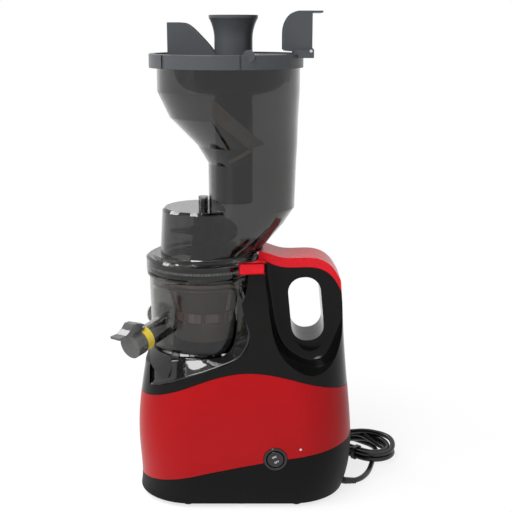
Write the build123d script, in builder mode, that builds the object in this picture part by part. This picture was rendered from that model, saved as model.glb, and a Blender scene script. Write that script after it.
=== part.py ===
from build123d import *
import math
import os

# Cold press juicer.  Millimetres, +Z up.  The origin is on the table, on the
# drive axis that the auger, the bowl and the hopper lid share.  The handle is
# towards +X and the juice spout and the switch are towards -Y.

os.makedirs("parts", exist_ok=True)

# ---------------------------------------------------------------- clearances
SEAM = 0.3            # gap between neighbouring shell pieces
RUN = 0.05            # radial running clearance of a shaft in its bush
LOOSE = 0.5           # gap between pieces that lift out by hand
GEAR_SIDE = 1.0       # axial gap between gears and the walls beside them

# ---------------------------------------------------------------- motor base
WALL = 3.0            # wall of the housing shells
TUB_BOTTOM = 5.0      # height of the tub's lower rim
RIM_LEFT, RIM_RIGHT, RIM_DEPTH = -73.0, 154.5, 79.0
BELLY_Z = 52.0
BELLY_LEFT, BELLY_RIGHT, BELLY_DEPTH = -72.6, 162.7, 87.5
WAIST_Z = 125.0
WAIST_LEFT, WAIST_RIGHT, WAIST_DEPTH = -68.8, 158.0, 83.5
SHOULDER_Z = 155.0
SHOULDER_LEFT, SHOULDER_RIGHT, SHOULDER_DEPTH = -64.2, 155.3, 76.0
NECK_Z = 200.0
NECK_LEFT, NECK_RIGHT, NECK_DEPTH = -60.0, 152.0, 58.0
CROWN_Z = 280.0
CROWN_LEFT, CROWN_RIGHT, CROWN_DEPTH = -56.0, 144.5, 51.0
CORNER = 60.0         # plan corner radius at the belly
CROWN_CORNER = 14.0   # plan corner radius at the crown

BAND_TOP = ((-85, 116), (-25, 134.5), (44, 152.8), (102, 144.5), (175, 121))
BAND_BOTTOM = ((-85, 17), (-31, 34.5), (32, 49.7), (93, 61.2), (175, 70.5))

SEAT_Z = 163.0        # floor that the bowl stands on
SEAT_CONE = 86.0      # radius where the seat's skirt ends
SEAT_DROP = 27.0      # fall of the skirt from the boss to its end
SEAT_THICK = 3.5
SKIRT_WALL, SKIRT_LOW = 2.5, 128.0   # the seat's outer skirt, and how low it reaches
SEAT_NOTCH = 10.0     # width of the notch for the bowl's locating tab
SEAT_TILT = 14.0      # the deck around the boss rises towards the handle
SEAT_DECK = 150.5     # height of that deck on the drive axis
SEAT_EDGE = ((-57.6, 133.5), (-17, 147.5), (14, 157.5), (40, 169), (50.5, 189))
COLUMN_EDGE = ((46.5, 203.0), (41.5, 223.0), (39.0, 256.0))
WING_Z = 152.0        # top of the housing's left wall
BAY_GAP = 4.5         # room round the bowl in the column's round bay

GRIP_DEPTH = 25.0     # half thickness of the handle
SCOOP_FILLET = 13.0
SCOOP_EDGE = ((66, 256), (69, 230), (74, 195), (83, 171.5), (103, 154), (121, 149.5), (138, 158), (150, 182),
              (159, 212))
HOLE_CENTRE = (111.5, 208.5)
HOLE_SIZE = (35.5, 71.5)
HOLE_CORNER = 16.5
HOLE_LEAN = 5.5       # degrees, top towards the bowl

CAP_EAR_X = 66.0      # right end of the two ears of the handle cap
CAP_EAR_BOTTOM, CAP_EAR_TOP = 253.5, 264.5
CAP_THICK = 10.5
CAP_TOP = ((52, 271.5), (70, 271), (82, 267), (108, 266), (128, 263.5), (139, 256), (146, 246), (152, 234))

BASE_PLATE = 3.0
FOOT_SPOTS = ((-17, -66), (101, -66), (-17, 66), (101, 66), (0, 0))   # the last one is under the screw
FOOT_RADIUS = 6.5
SCREW_BOSS = 5.0      # radius of the bosses, and how far their axes stand inside the rim
SCREW_HEAD, SCREW_SHANK = 3.2, 1.6

# ---------------------------------------------------------------- switch
SWITCH_X, SWITCH_Z = 77.6, 61.2
BEZEL_RADIUS, SWITCH_RADIUS, ROCKER_RADIUS = 12.6, 11.6, 8.7
SWITCH_LEAN = 26.0
BEZEL_BACK, BEZEL_FRONT = -1.2, 2.8    # depths along the switch's axis, from the skin
WELL_DEPTH, WELL_PLAY = 6.0, 0.6       # round well of the switch that the rocker sits in
ROCKER_BACK, ROCKER_FRONT = -4.5, 3.0
PIVOT_DEPTH, PIVOT_RADIUS = 3.2, 1.0   # rocker's pivot stubs
LENS_X, LENS_Z, LENS_RADIUS = 104.2, 71.7, 1.6

LENS_FACE, LENS_LENGTH = -87.0, 9.0
SWITCH_DEPTH = 24.0
FOOT_STUD = 2.5
SLOTS, SLOT_PITCH, SLOT_LENGTH, SLOT_WIDTH = 7, 8.0, 44.0, 4.0

# ---------------------------------------------------------------- gear train
SEAL_RADIUS, SEAL_HEIGHT = 15.0, 8.0   # rubber shaft seal in the seat
SHAFT_SHOULDER, HEX_LENGTH = 165.0, 24.0
MOUNT_THICK = 3.0                 # rubber ring between the motor and the gearbox
COIL_ROD = 2.2
FAN_BLADES = 9
ACROSS = 20.0                     # pressure angle of all gears, degrees
FINE, MEDIUM, COARSE = 0.8, 1.0, 1.5   # gear modules
MOTOR_TEETH, FIRST_TEETH = 12, 60
FIRST_PINION_TEETH, SECOND_TEETH = 12, 48
SECOND_PINION_TEETH, OUTPUT_TEETH = 12, 42
SECOND_ANGLE = 20.2               # from the drive axis to the second shaft
FIRST_ANGLE = -36.9               # from the second shaft to the first
MOTOR_ANGLE = 8.0                 # from the first shaft to the motor
BOX_FLOOR = 96.0                  # underside of the gearbox case
BOX_WALL = 3.0
FIRST_WIDTH, SECOND_WIDTH, OUTPUT_WIDTH = 7.0, 8.0, 14.0
PIN_RADIUS = 3.0
HUB_WALL = 1.4                    # wall of a gear hub round its pin
ADDENDUM, DEDENDUM = 0.8, 1.2     # tooth height above and below the pitch circle, in modules
BACKLASH = 0.08                   # thinning of each tooth, in modules
FLOAT = 0.2                       # end play of a gear between floor and lid
FIXED = 0.02                      # radial gap of pieces that are pressed together
EAR_RADIUS = 5.5
BOSS_ROOT = 157.0                 # where the housing's gearbox bosses end in its ceiling
SCREW_GRIP = 9.0                  # how far the gearbox screws reach into their bosses
LID_THICK = 4.0

OUTPUT_RADIUS = 8.0               # output shaft in its bushes
HEX_RADIUS = 7.6                  # hexagon on top of the output shaft, over corners
BUSH_WALL = 2.5

MOTOR_RADIUS, MOTOR_LENGTH = 34.0, 62.0
MOTOR_WALL = 2.0
ROTOR_RADIUS, ROTOR_LENGTH = 19.0, 26.0
MOTOR_SHAFT = 4.0
FAN_RADIUS, FAN_WIDTH = 30.0, 6.0

# ---------------------------------------------------------------- juice bowl
BOWL_RADIUS = 60.3
BOWL_FOOT = BOWL_RADIUS - 1.5
BAY_RADIUS = BOWL_RADIUS + BAY_GAP
SEAT_BOSS = BOWL_FOOT + 0.2           # radius of the raised ring under the bowl
BOWL_WALL = 3.0
BOWL_FLOOR = 4.0
BOWL_TOP = 262.0
BOWL_LIP, BOWL_LIP_Z = BOWL_RADIUS + 2.5, 246.0
BOWL_STRAIGHT = 240.0             # over this height the bowl's wall is upright
HUB_RADIUS = 12.6
HUB_TOP = 172.0

SPOUT_ANGLE, SPOUT_DROP = -128.0, 11.0
TAB_ANGLE = -119.0                # bowl's locating tab
SPOUT_RADIUS, SPOUT_BORE = 12.0, 9.5
SPOUT_Z, SPOUT_REACH = 199.5, BOWL_RADIUS + 45.7
SPOUT_SEAL = 13.2                 # outer radius of the soft ring on the spout's end
CAP_RADIUS, CAP_LENGTH = 13.5, 13.0
CAP_HINGE = 16.0                  # height of the cap's pin over the spout's axis
CAP_PIN = 1.3
LEVER_WIDTH, LEVER_THICK = 13.0, 2.4
PULP_ANGLE, PULP_RADIUS, PULP_BORE = 135.0, 13.0, 10.5
PULP_Z, PULP_REACH = 179.0, BOWL_RADIUS + 25.7

# Wiper drive on the bowl's floor
WIPER_GEAR_TEETH, WIPER_PINION_TEETH, RING_TEETH = 16, 12, 40
WIPER_ANGLE = 40.0
WIPER_GEAR_Z, WIPER_GEAR_WIDTH = 174.5, 6.0

CAGE_TOP, CAGE_TOP_RADIUS = 234.0, 41.5
CAGE_WAIST, CAGE_WAIST_RADIUS = 205.0, 34.6
CAGE_WALL = 1.6
STRAINER_GAP = 0.8
WINDOWS = 10
BLADES = 4

AUGER_BOTTOM, AUGER_TOP = 185.5, 311.0
AUGER_CORE_LOW, AUGER_CORE_HIGH = 21.0, 11.0
FLIGHT_TURNS = 2.2
AUGER_PIN = 3.0

THROAT_RADIUS = 14.4              # hole in the strainer's floor for the auger
NECK_RADIUS = 10.4                # auger's neck in the bowl seal
HEX_PLAY = 0.35
FLIGHTS, STEPS_PER_TURN = 2, 16
FLIGHT_LOW, FLIGHT_HIGH = 194.0, 300.0
FLIGHT_FOOT, FLIGHT_CROWN, FLIGHT_THICK = 29.3, 38.0, 4.0
PINION_PIN = 2.5
WINDOW_LOW, WINDOW_HIGH, WINDOW_WIDTH = CAGE_WAIST - 11.0, CAGE_WAIST, 17.0
BLADE_BOTTOM, BLADE_TOP = CAGE_WAIST + 2.5, CAGE_TOP - 3.0
STRAINER_WALL = 1.2
MESH_LOW, MESH_HIGH = 188.0, 230.0
PANELS, PANEL_WIDTH = 8, 17.0
SEAL_WIDTH = 9.0                  # width of the soft ring on the spout
BLADE_ANGLE, BLADE_THICK, BLADE_REACH = 45.0, 2.6, 2.6
LEDGE_Z = 236.0                   # ledge in the bowl under the strainer's tabs

# ---------------------------------------------------------------- hopper
COLLAR_RADIUS, COLLAR_BOTTOM, COLLAR_TOP = BOWL_RADIUS + 3.0, 250.5, 265.5
DOME_FOOT, DOME_TOP_RADIUS, DOME_TOP = 47.8, 44.7, 317.6
HOPPER_WALL = 2.6
MOUTH_X, MOUTH_RADIUS, MOUTH_TOP = 28.0, 75.4, 466.0
BOSS_RADIUS, BOSS_TOP = 5.4, 329.0
# Height, centre along X and outer radius of the round sections of the hopper
HOPPER_SECTIONS = (
    (441.5, MOUTH_X, MOUTH_RADIUS),
    (415.0, 33.5, 68.4),
    (385.0, 47.8, 53.4),
    (366.0, 53.0, 47.2),
    (318.0, 52.3, 46.3),
)
THROAT_SECTIONS = (
    (318.0, 52.3, 46.3),
    (300.0, 41.5, 45.2),
    (268.0, 14.0, 45.2),
)

# ---------------------------------------------------------------- cover
RING_X, RING_RADIUS = 26.5, 80.3
RING_BOTTOM, RING_TOP = 466.3, 480.6
COVER_PLATE = 3.0
LATCH_END = -38.0                 # where the thicker left end of the ring stops along X
PANEL_LEFT, PANEL_RIGHT = 43.5, 88.0
PANEL_PROUD = 1.6                 # how far the latch and the panel stand out of the ring
SLOT_WIDTH, SLOT_DEPTH = 2.4, 3.0
LUG_X, LUG_RADIUS, LUG_THICK = 50.0, 6.0, 5.0   # rounded lug at the panel's left end
FIN_LEFT, FIN_FLAT, FIN_RIGHT = -34.0, -21.0, 18.0
FIN_TOP, FIN_WALL, FIN_DEPTH = 512.0, 2.5, 44.0
FIN_SLOPE = ((-9.8, 507.5), (-0.6, 498.6), (9.9, 487.0))
# Radius and height of the dish under the cover's plate, measured from its underside
DISH = ((64.0, 0.0), (63.0, -12.0), (59.5, -23.0), (51.0, -31.0), (38.0, -35.5), (22.5, -37.0))
DISH_WALL = 1.8
PUSHER_X, PUSHER_RADIUS, PUSHER_RIM = 33.4, 20.0, 25.7
PUSHER_TOP, PUSHER_NECK, PUSHER_BOTTOM = 519.5, 495.0, 323.0
PUSHER_WALL = 2.2
MOUTH_LEFT, MOUTH_RIGHT, MOUTH_DEPTH = 60.0, 90.0, 27.0
TRAY_X, TRAY_Z = 113.0, 483.5     # hinge line of the folding tray
TRAY_DEPTH, TRAY_TOP, TRAY_LIP = 29.0, 523.5, 12.0
TRAY_WALL, TRAY_LEFT = 2.4, 84.8
TRAY_EAR = 3.7
TRAY_PIN = 1.5
GUIDE_WALL, GUIDE_LENGTH, MOUTH_SKIRT = 2.0, 38.0, 14.0

# ---------------------------------------------------------------- power cord
BOARD_SPOT, BOARD_SIZE = (4.0, 8.0), (52.0, 72.0)
CORD_RADIUS = 3.0
GLAND_RADIUS, GLAND_LENGTH = 5.0, 14.0
GLAND_HEADING = -12.0             # degrees
CORD_ROUTE = (
    (148.0, -22.5, 6.8),
    (158.8, -24.8, 5.4),
    (170.4, -21.9, 3.8),
    (180.9, -11.2, 3.1),
    (189.2, 5.4, 3.1),
    (194.2, 24.0, 3.1),
)
GLAND_PLANE = Plane(
    origin=CORD_ROUTE[0],
    x_dir=(0, 0, 1),
    z_dir=(math.cos(math.radians(GLAND_HEADING)), math.sin(math.radians(GLAND_HEADING)), 0),
)
COIL_CENTRE, COIL_HEADING = (180.5, 61.0), 138.0
COIL_LONG, COIL_SHORT, COIL_HEIGHT = 56.0, 25.0, 20.0   # half axes and height
PLUG_RADIUS, PLUG_LENGTH = 9.0, 38.0


def save(part, name):
    part.label = name
    export_step(part, f"parts/{name}.step")
    print(f"{name:22s} solids {len(part.solids()):3d}  volume {part.volume / 1000:9.2f} cm3")


def polar(radius, angle, z=0.0):
    """A point at a radius and an angle in degrees about the drive axis."""
    return (radius * math.cos(math.radians(angle)), radius * math.sin(math.radians(angle)), z)


def turned(angle):
    """The direction at an angle in degrees above +X, seen from the front."""
    return (math.cos(math.radians(angle)), 0, math.sin(math.radians(angle)))


def shifted(start, distance, angle):
    """A plan point at a distance and an angle in degrees from another one."""
    step = polar(distance, angle)
    return (start[0] + step[0], start[1] + step[1])


# ================================================================ housing form
def base_section(left, right, depth, corner, inset):
    centre = (left + right) / 2
    with Locations((centre, 0)):
        RectangleRounded(right - left - 2 * inset, 2 * (depth - inset), corner - inset)


def housing_form(inset):
    """The whole outer form of the motor base, or the same form set inwards."""
    sections = (
        (TUB_BOTTOM, RIM_LEFT, RIM_RIGHT, RIM_DEPTH, CORNER),
        (BELLY_Z, BELLY_LEFT, BELLY_RIGHT, BELLY_DEPTH, CORNER + 4),
        (WAIST_Z, WAIST_LEFT, WAIST_RIGHT, WAIST_DEPTH, CORNER),
        (SHOULDER_Z, SHOULDER_LEFT, SHOULDER_RIGHT, SHOULDER_DEPTH, CORNER - 4),
        (NECK_Z, NECK_LEFT, NECK_RIGHT, NECK_DEPTH, (CORNER + CROWN_CORNER) / 2),
        (CROWN_Z, CROWN_LEFT, CROWN_RIGHT, CROWN_DEPTH, CROWN_CORNER),
    )
    with BuildPart() as form:
        for z, left, right, depth, corner in sections:
            with BuildSketch(Plane.XY.offset(z)):
                base_section(left, right, depth, corner, inset)
        loft()
    return form.part


def below_curve(points, drop=0.0):
    """Everything under a wavy line seen from the front."""
    with BuildPart() as block:
        with BuildSketch(Plane.XZ) as face:
            with BuildLine():
                wave = Spline(*[(x, z - drop) for x, z in points])
                Polyline(wave @ 1, (points[-1][0], -60), (points[0][0], -60), wave @ 0)
            make_face()
        extrude(amount=130, both=True)
    return block.part


outer = housing_form(0)
inner = housing_form(WALL)
low_part = below_curve(BAND_BOTTOM, SEAM / 2)
band_low = below_curve(BAND_BOTTOM, -SEAM / 2)
band_high = below_curve(BAND_TOP, SEAM / 2)
top_low = below_curve(BAND_TOP, -SEAM / 2)

RIM_CENTRE = (RIM_LEFT + RIM_RIGHT) / 2
BOSS_INSET = WALL + SCREW_BOSS - 2.5
PLATE_SCREWS = (
    (RIM_LEFT + BOSS_INSET, 0),
    (RIM_RIGHT - BOSS_INSET, 0),
    (RIM_CENTRE, BOSS_INSET - RIM_DEPTH),
    (RIM_CENTRE, RIM_DEPTH - BOSS_INSET),
)
PLATE_TOP = TUB_BOTTOM + BASE_PLATE

# ---------------------------------------------------------------- gear places
ORIGIN = (0.0, 0.0)
OUTPUT_DISTANCE = COARSE * (SECOND_PINION_TEETH + OUTPUT_TEETH) / 2
SECOND_DISTANCE = MEDIUM * (FIRST_PINION_TEETH + SECOND_TEETH) / 2
FIRST_DISTANCE = FINE * (MOTOR_TEETH + FIRST_TEETH) / 2
SECOND_AXIS = shifted(ORIGIN, OUTPUT_DISTANCE, SECOND_ANGLE)
FIRST_AXIS = shifted(SECOND_AXIS, SECOND_DISTANCE, FIRST_ANGLE)
MOTOR_AXIS = shifted(FIRST_AXIS, FIRST_DISTANCE, MOTOR_ANGLE)
FIRST_Z = BOX_FLOOR + BOX_WALL + GEAR_SIDE
SECOND_Z = FIRST_Z + FIRST_WIDTH + GEAR_SIDE
OUTPUT_Z = SECOND_Z + SECOND_WIDTH + GEAR_SIDE
BOX_TOP = OUTPUT_Z + OUTPUT_WIDTH + GEAR_SIDE
LID_TOP = BOX_TOP + LID_THICK
print("axes", SECOND_AXIS, FIRST_AXIS, MOTOR_AXIS, "box top", BOX_TOP, "lid top", LID_TOP)


def tip_radius(teeth, module):
    return module * (teeth / 2 + ADDENDUM)


BOX_RADIUS = tip_radius(OUTPUT_TEETH, COARSE) + GEAR_SIDE + BOX_WALL
EAR_SPOTS = (
    polar(BOX_RADIUS + EAR_RADIUS - 1.5, 125)[:2],
    polar(BOX_RADIUS + EAR_RADIUS - 1.5, -125)[:2],
    (MOTOR_AXIS[0], MOTOR_AXIS[1] + MOTOR_RADIUS + BOX_WALL + EAR_RADIUS - 1.5),
    (MOTOR_AXIS[0], MOTOR_AXIS[1] - MOTOR_RADIUS - BOX_WALL - EAR_RADIUS + 1.5),
)

# ---------------------------------------------------------------- base tub
SWITCH_FACE = -BELLY_DEPTH + 1.2      # where the switch's axis meets the skin
with BuildPart() as base_tub:
    add(outer)
    add(inner, mode=Mode.SUBTRACT)
    add(low_part, mode=Mode.INTERSECT)
    with BuildSketch(Plane.XY.offset(PLATE_TOP)):
        with Locations(*PLATE_SCREWS):
            Circle(SCREW_BOSS)
    extrude(amount=12)
    with BuildSketch(Plane.XY.offset(PLATE_TOP)):
        with Locations(*PLATE_SCREWS):
            Circle(SCREW_SHANK)
    extrude(amount=12, mode=Mode.SUBTRACT)
    # notch in the rim where the cord comes out from under the base
    with BuildSketch(GLAND_PLANE):
        Circle(CORD_RADIUS + 1.2)
    extrude(amount=GLAND_LENGTH, mode=Mode.SUBTRACT)
    # switch hole
    with BuildSketch(Plane.XZ.offset(-SWITCH_FACE - 20)):
        with Locations((SWITCH_X, SWITCH_Z)):
            Circle(BEZEL_RADIUS + SEAM)
    extrude(amount=50, mode=Mode.SUBTRACT)
save(base_tub.part, "base_tub")

# ---------------------------------------------------------------- red band
with BuildPart() as red_band:
    add(outer)
    add(inner, mode=Mode.SUBTRACT)
    add(band_low, mode=Mode.SUBTRACT)
    add(band_high, mode=Mode.INTERSECT)
    with BuildSketch(Plane.XZ.offset(-SWITCH_FACE - 20)):
        with Locations((SWITCH_X, SWITCH_Z)):
            Circle(BEZEL_RADIUS + SEAM)
        with Locations((LENS_X, LENS_Z)):
            Circle(LENS_RADIUS + FIXED)
    extrude(amount=50, mode=Mode.SUBTRACT)
save(red_band.part, "red_band")

# ---------------------------------------------------------------- upper housing
SIDE = Plane.XZ                       # sketches seen from the front, x to the right, z up
THROUGH = 130                         # more than half the depth of the housing

with BuildPart() as bay:              # room for the bowl, left of the column
    with BuildSketch(SIDE):
        with BuildLine():
            rim = Spline(*SEAT_EDGE, tangents=((1, 0.25), (0, 1)))
            edge = Spline(rim @ 1, *COLUMN_EDGE, tangents=(rim % 1, (0, 1)))
            Polyline(edge @ 1, (COLUMN_EDGE[-1][0], 320), (-120, 320), (-120, WING_Z))
            Polyline((-120, WING_Z), (SEAT_EDGE[0][0], WING_Z), rim @ 0)
        make_face()
    extrude(amount=THROUGH, both=True)
    with BuildSketch(Plane.XY.offset(SEAT_Z)):
        Circle(BAY_RADIUS)
    extrude(amount=170)

with BuildPart() as scoop:            # one side's hollow around the handle
    with BuildSketch(SIDE.offset(GRIP_DEPTH)):
        with BuildLine():
            brink = Spline(*SCOOP_EDGE, tangents=((0.02, -1), (0.25, 1)))
            Polyline(brink @ 1, (200, 217), (200, 320), (SCOOP_EDGE[0][0], 320), brink @ 0)
        make_face()
    extrude(amount=THROUGH)
    fillet(scoop.edges().group_by(Axis.Y)[-1].filter_by(GeomType.BSPLINE), SCOOP_FILLET)

with BuildPart() as finger_hole:
    with BuildSketch(SIDE):
        with Locations(Location((*HOLE_CENTRE, 0), (0, 0, HOLE_LEAN))):
            RectangleRounded(*HOLE_SIZE, HOLE_CORNER)
    extrude(amount=THROUGH, both=True)


def cap_space(grow, rise):
    """The space of the red handle cap, with room for the seam under it and open above."""
    with BuildPart() as space:
        with BuildSketch(SIDE):
            with BuildLine():
                crest = Spline(*[(x, z - CAP_THICK - grow) for x, z in CAP_TOP])
                roof = Spline(*[(x, z + rise) for x, z in CAP_TOP])
                Line(crest @ 1, roof @ 1)
                Line(crest @ 0, roof @ 0)
            make_face()
        extrude(amount=GRIP_DEPTH + rise, both=True)
        with BuildSketch(Plane.XY.offset(CAP_EAR_BOTTOM - grow)):
            with Locations((CAP_EAR_X / 2, 0)):
                Rectangle(CAP_EAR_X + 2 * grow, 2 * THROUGH)
        extrude(amount=CAP_EAR_TOP - CAP_EAR_BOTTOM + grow + rise)
    return space.part


CAVITY_TOP = 141.0                    # ceiling of the base's inside, under the handle
with BuildPart() as cavity:
    add(inner)
    with BuildSketch(SIDE):
        with BuildLine():
            Polyline((-120, 0), (180, 0), (180, CAVITY_TOP), (SEAT_EDGE[-1][0], CAVITY_TOP),
                     (SEAT_EDGE[-1][0], 300), (-120, 300), close=True)
        make_face()
    extrude(amount=THROUGH, both=True, mode=Mode.INTERSECT)
    # hollow column between the bowl and the finger hole, and hollow outer grip
    with BuildSketch(Plane.XY.offset(CAVITY_TOP - 1)):
        with Locations((78.5, 0)):
            Rectangle(20, 2 * (GRIP_DEPTH - WALL))
        with Locations((141, 0)):
            Rectangle(9, 2 * (GRIP_DEPTH - WALL))
    extrude(amount=100)

with BuildPart() as housing:
    add(outer)
    with BuildSketch(Plane.XY.offset(CAP_EAR_TOP + 30)):
        Rectangle(400, 400)
    extrude(amount=-300, mode=Mode.INTERSECT)
    add(cavity.part, mode=Mode.SUBTRACT)
    add(top_low, mode=Mode.SUBTRACT)
    add(bay.part, mode=Mode.SUBTRACT)
    add(scoop.part, mode=Mode.SUBTRACT)
    add(scoop.part.mirror(Plane.XZ), mode=Mode.SUBTRACT)
    add(finger_hole.part, mode=Mode.SUBTRACT)
    add(cap_space(SEAM, 40), mode=Mode.SUBTRACT)
    with BuildSketch(Plane.XY.offset(LID_TOP)):      # bosses over the gearbox ears
        with Locations(*EAR_SPOTS[2:]):
            Circle(EAR_RADIUS)
    extrude(amount=BOSS_ROOT - LID_TOP)
    with BuildSketch(Plane.XY.offset(LID_TOP)):
        with Locations(*EAR_SPOTS[2:]):
            Circle(SCREW_SHANK)
    extrude(amount=SCREW_GRIP, mode=Mode.SUBTRACT)

for side, name in ((1, "front_housing"), (-1, "rear_housing")):
    with BuildPart() as half:
        add(housing.part)
        with BuildSketch(SIDE.offset(side * SEAM / 2)):
            Rectangle(600, 1200)
        extrude(amount=side * THROUGH, mode=Mode.INTERSECT)
    save(half.part, name)

with BuildPart() as handle_cap:
    add(cap_space(0, 0))
    add(outer, mode=Mode.INTERSECT)
    add(bay.part, mode=Mode.SUBTRACT)
save(handle_cap.part, "handle_cap")

# ---------------------------------------------------------------- bowl seat
with BuildPart() as seat_block:
    with BuildSketch(SIDE):
        rise = math.tan(math.radians(SEAT_TILT))
        right = SEAT_EDGE[-1][0]
        with BuildLine():
            Polyline((-120, 100), (right, 100), (right, SEAT_DECK + rise * right),
                     (-120, SEAT_DECK - 120 * rise), close=True)
        make_face()
    extrude(amount=THROUGH, both=True)
    with BuildSketch(Plane.XZ):
        with BuildLine():
            Polyline((0, 100), (SEAT_CONE, 100), (SEAT_CONE, SEAT_Z - SEAT_DROP),
                     (SEAT_BOSS, SEAT_Z), (0, SEAT_Z), close=True)
        make_face()
    revolve(axis=Axis.Z)
    with BuildSketch(Plane.XY.offset(SEAT_Z)):
        Circle(BAY_RADIUS)
    extrude(amount=50, mode=Mode.SUBTRACT)

seat_inner = housing_form(WALL + SEAM)
with BuildPart() as skirt:            # hangs behind the housing's edge, so no gap shows over it
    add(seat_block.part)
    add(seat_inner, mode=Mode.INTERSECT)
    add(housing_form(WALL + SEAM + SKIRT_WALL), mode=Mode.SUBTRACT)
    with BuildSketch(Plane.XY.offset(SKIRT_LOW)):
        Rectangle(400, 400)
    extrude(amount=100, mode=Mode.INTERSECT)

with BuildPart() as bowl_seat:
    add(seat_block.part)
    add(seat_block.part.translate((0, 0, -SEAT_THICK)), mode=Mode.SUBTRACT)
    with BuildSketch(Plane.XY.offset(LID_TOP)):      # bosses for the gearbox
        with Locations(*EAR_SPOTS[:2]):
            Circle(EAR_RADIUS)
        Circle(OUTPUT_RADIUS + BUSH_WALL + 8)
    extrude(amount=SEAT_Z - SEAT_THICK - LID_TOP + 1)
    add(seat_inner, mode=Mode.INTERSECT)
    add(skirt.part)
    with BuildSketch(Plane.XY.offset(100)):
        with Locations((right + 60 - SEAM, 0)):
            Rectangle(120, 300)
    extrude(amount=100, mode=Mode.SUBTRACT)
    with BuildSketch(Plane.XY.offset(100)):
        Circle(SEAL_RADIUS)
        with Locations(*EAR_SPOTS[:2]):
            Circle(SCREW_SHANK)
    extrude(amount=SEAT_Z - SEAT_THICK - 100, mode=Mode.SUBTRACT)
    with BuildSketch(Plane.XY.offset(100)):
        Circle(SEAL_RADIUS - 2)
    extrude(amount=100, mode=Mode.SUBTRACT)
    with BuildSketch(Plane.XY.offset(SEAT_Z - 12)):
        with Locations(polar(BOWL_FOOT + 1.0, TAB_ANGLE)[:2]):
            Rectangle(SEAT_NOTCH, SEAT_NOTCH, rotation=TAB_ANGLE)
    extrude(amount=30, mode=Mode.SUBTRACT)
save(bowl_seat.part, "bowl_seat")

# ---------------------------------------------------------------- base plate, feet, screws
with BuildPart() as base_plate:
    with BuildSketch(Plane.XY.offset(TUB_BOTTOM)):
        base_section(RIM_LEFT, RIM_RIGHT, RIM_DEPTH, CORNER, WALL + 2 * SEAM)
    extrude(amount=BASE_PLATE)
    with BuildSketch(Plane.XY.offset(TUB_BOTTOM)):
        with Locations(*PLATE_SCREWS):
            Circle(SCREW_SHANK + 0.2)
        with Locations(*FOOT_SPOTS):
            Circle(FOOT_STUD)
        # air slots under the fan
        with Locations(MOTOR_AXIS):
            with GridLocations(0, SLOT_PITCH, 1, SLOTS):
                SlotOverall(SLOT_LENGTH, SLOT_WIDTH)
    extrude(amount=BASE_PLATE, mode=Mode.SUBTRACT)
    with BuildSketch(GLAND_PLANE):                # channel for the gland and the cord
        Circle(GLAND_RADIUS + SEAM)
    extrude(amount=GLAND_LENGTH + SEAM, both=True, mode=Mode.SUBTRACT)
save(base_plate.part, "base_plate")

with BuildPart() as feet:
    with BuildSketch():
        with Locations(*FOOT_SPOTS):
            Circle(FOOT_RADIUS)
    extrude(amount=TUB_BOTTOM)
    fillet(feet.edges().group_by(Axis.Z)[0], 2)
    with BuildSketch(Plane.XY.offset(TUB_BOTTOM)):
        with Locations(*FOOT_SPOTS):
            Circle(FOOT_STUD)
    extrude(amount=BASE_PLATE)
save(feet.part, "rubber_feet")

with BuildPart() as plate_screws:
    with BuildSketch(Plane.XY.offset(TUB_BOTTOM)):
        with Locations(*PLATE_SCREWS):
            Circle(SCREW_HEAD)
    extrude(amount=-2)
    with BuildSketch(Plane.XY.offset(TUB_BOTTOM)):
        with Locations(*PLATE_SCREWS):
            Circle(SCREW_SHANK)
    extrude(amount=BASE_PLATE + 10)
save(plate_screws.part, "base_plate_screws")

# ---------------------------------------------------------------- switch
SWITCH_PLANE = Plane(origin=(SWITCH_X, SWITCH_FACE, SWITCH_Z), x_dir=(1, 0, 0), z_dir=(0, -1, 0))
with BuildPart() as switch_bezel:
    with BuildSketch(SWITCH_PLANE.offset(BEZEL_BACK)):
        Circle(BEZEL_RADIUS)
        Circle(ROCKER_RADIUS + 1.5 * WELL_PLAY, mode=Mode.SUBTRACT)
    extrude(amount=BEZEL_FRONT - BEZEL_BACK)
    fillet(switch_bezel.edges().group_by(Axis.Y)[0], 1)
save(switch_bezel.part, "switch_bezel")

# the rocker turns on two stubs about a line across its own middle
PIVOT_PLANE = Plane(
    origin=(SWITCH_X, SWITCH_FACE + PIVOT_DEPTH, SWITCH_Z),
    x_dir=(0, -1, 0),
    z_dir=turned(SWITCH_LEAN),
)
STUB_REACH = ROCKER_RADIUS + WELL_PLAY + 1.2
with BuildPart() as switch_module:
    with BuildSketch(SWITCH_PLANE.offset(-SWITCH_DEPTH)):
        Circle(SWITCH_RADIUS)
    extrude(amount=SWITCH_DEPTH + BEZEL_BACK - FIXED)
    with BuildSketch(SWITCH_PLANE.offset(-WELL_DEPTH)):
        Circle(ROCKER_RADIUS + WELL_PLAY)
    extrude(amount=WELL_DEPTH, mode=Mode.SUBTRACT)
    with BuildSketch(PIVOT_PLANE):
        Circle(PIVOT_RADIUS + RUN)
    extrude(amount=STUB_REACH + LOOSE, both=True, mode=Mode.SUBTRACT)
    # three blade terminals
    with BuildSketch(SWITCH_PLANE.offset(-SWITCH_DEPTH)):
        with GridLocations(6, 0, 3, 1):
            Rectangle(0.8, 5)
    extrude(amount=-8)
save(switch_module.part, "switch_module")

with BuildPart() as switch_rocker:
    with BuildSketch(SWITCH_PLANE.offset(ROCKER_BACK)):
        Circle(ROCKER_RADIUS)
    extrude(amount=ROCKER_FRONT - ROCKER_BACK)
    fillet(switch_rocker.edges().group_by(Axis.Y)[0], 0.8)
    with BuildSketch(PIVOT_PLANE):
        Circle(PIVOT_RADIUS)
    extrude(amount=STUB_REACH, both=True)
save(switch_rocker.part, "switch_rocker")

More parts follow.
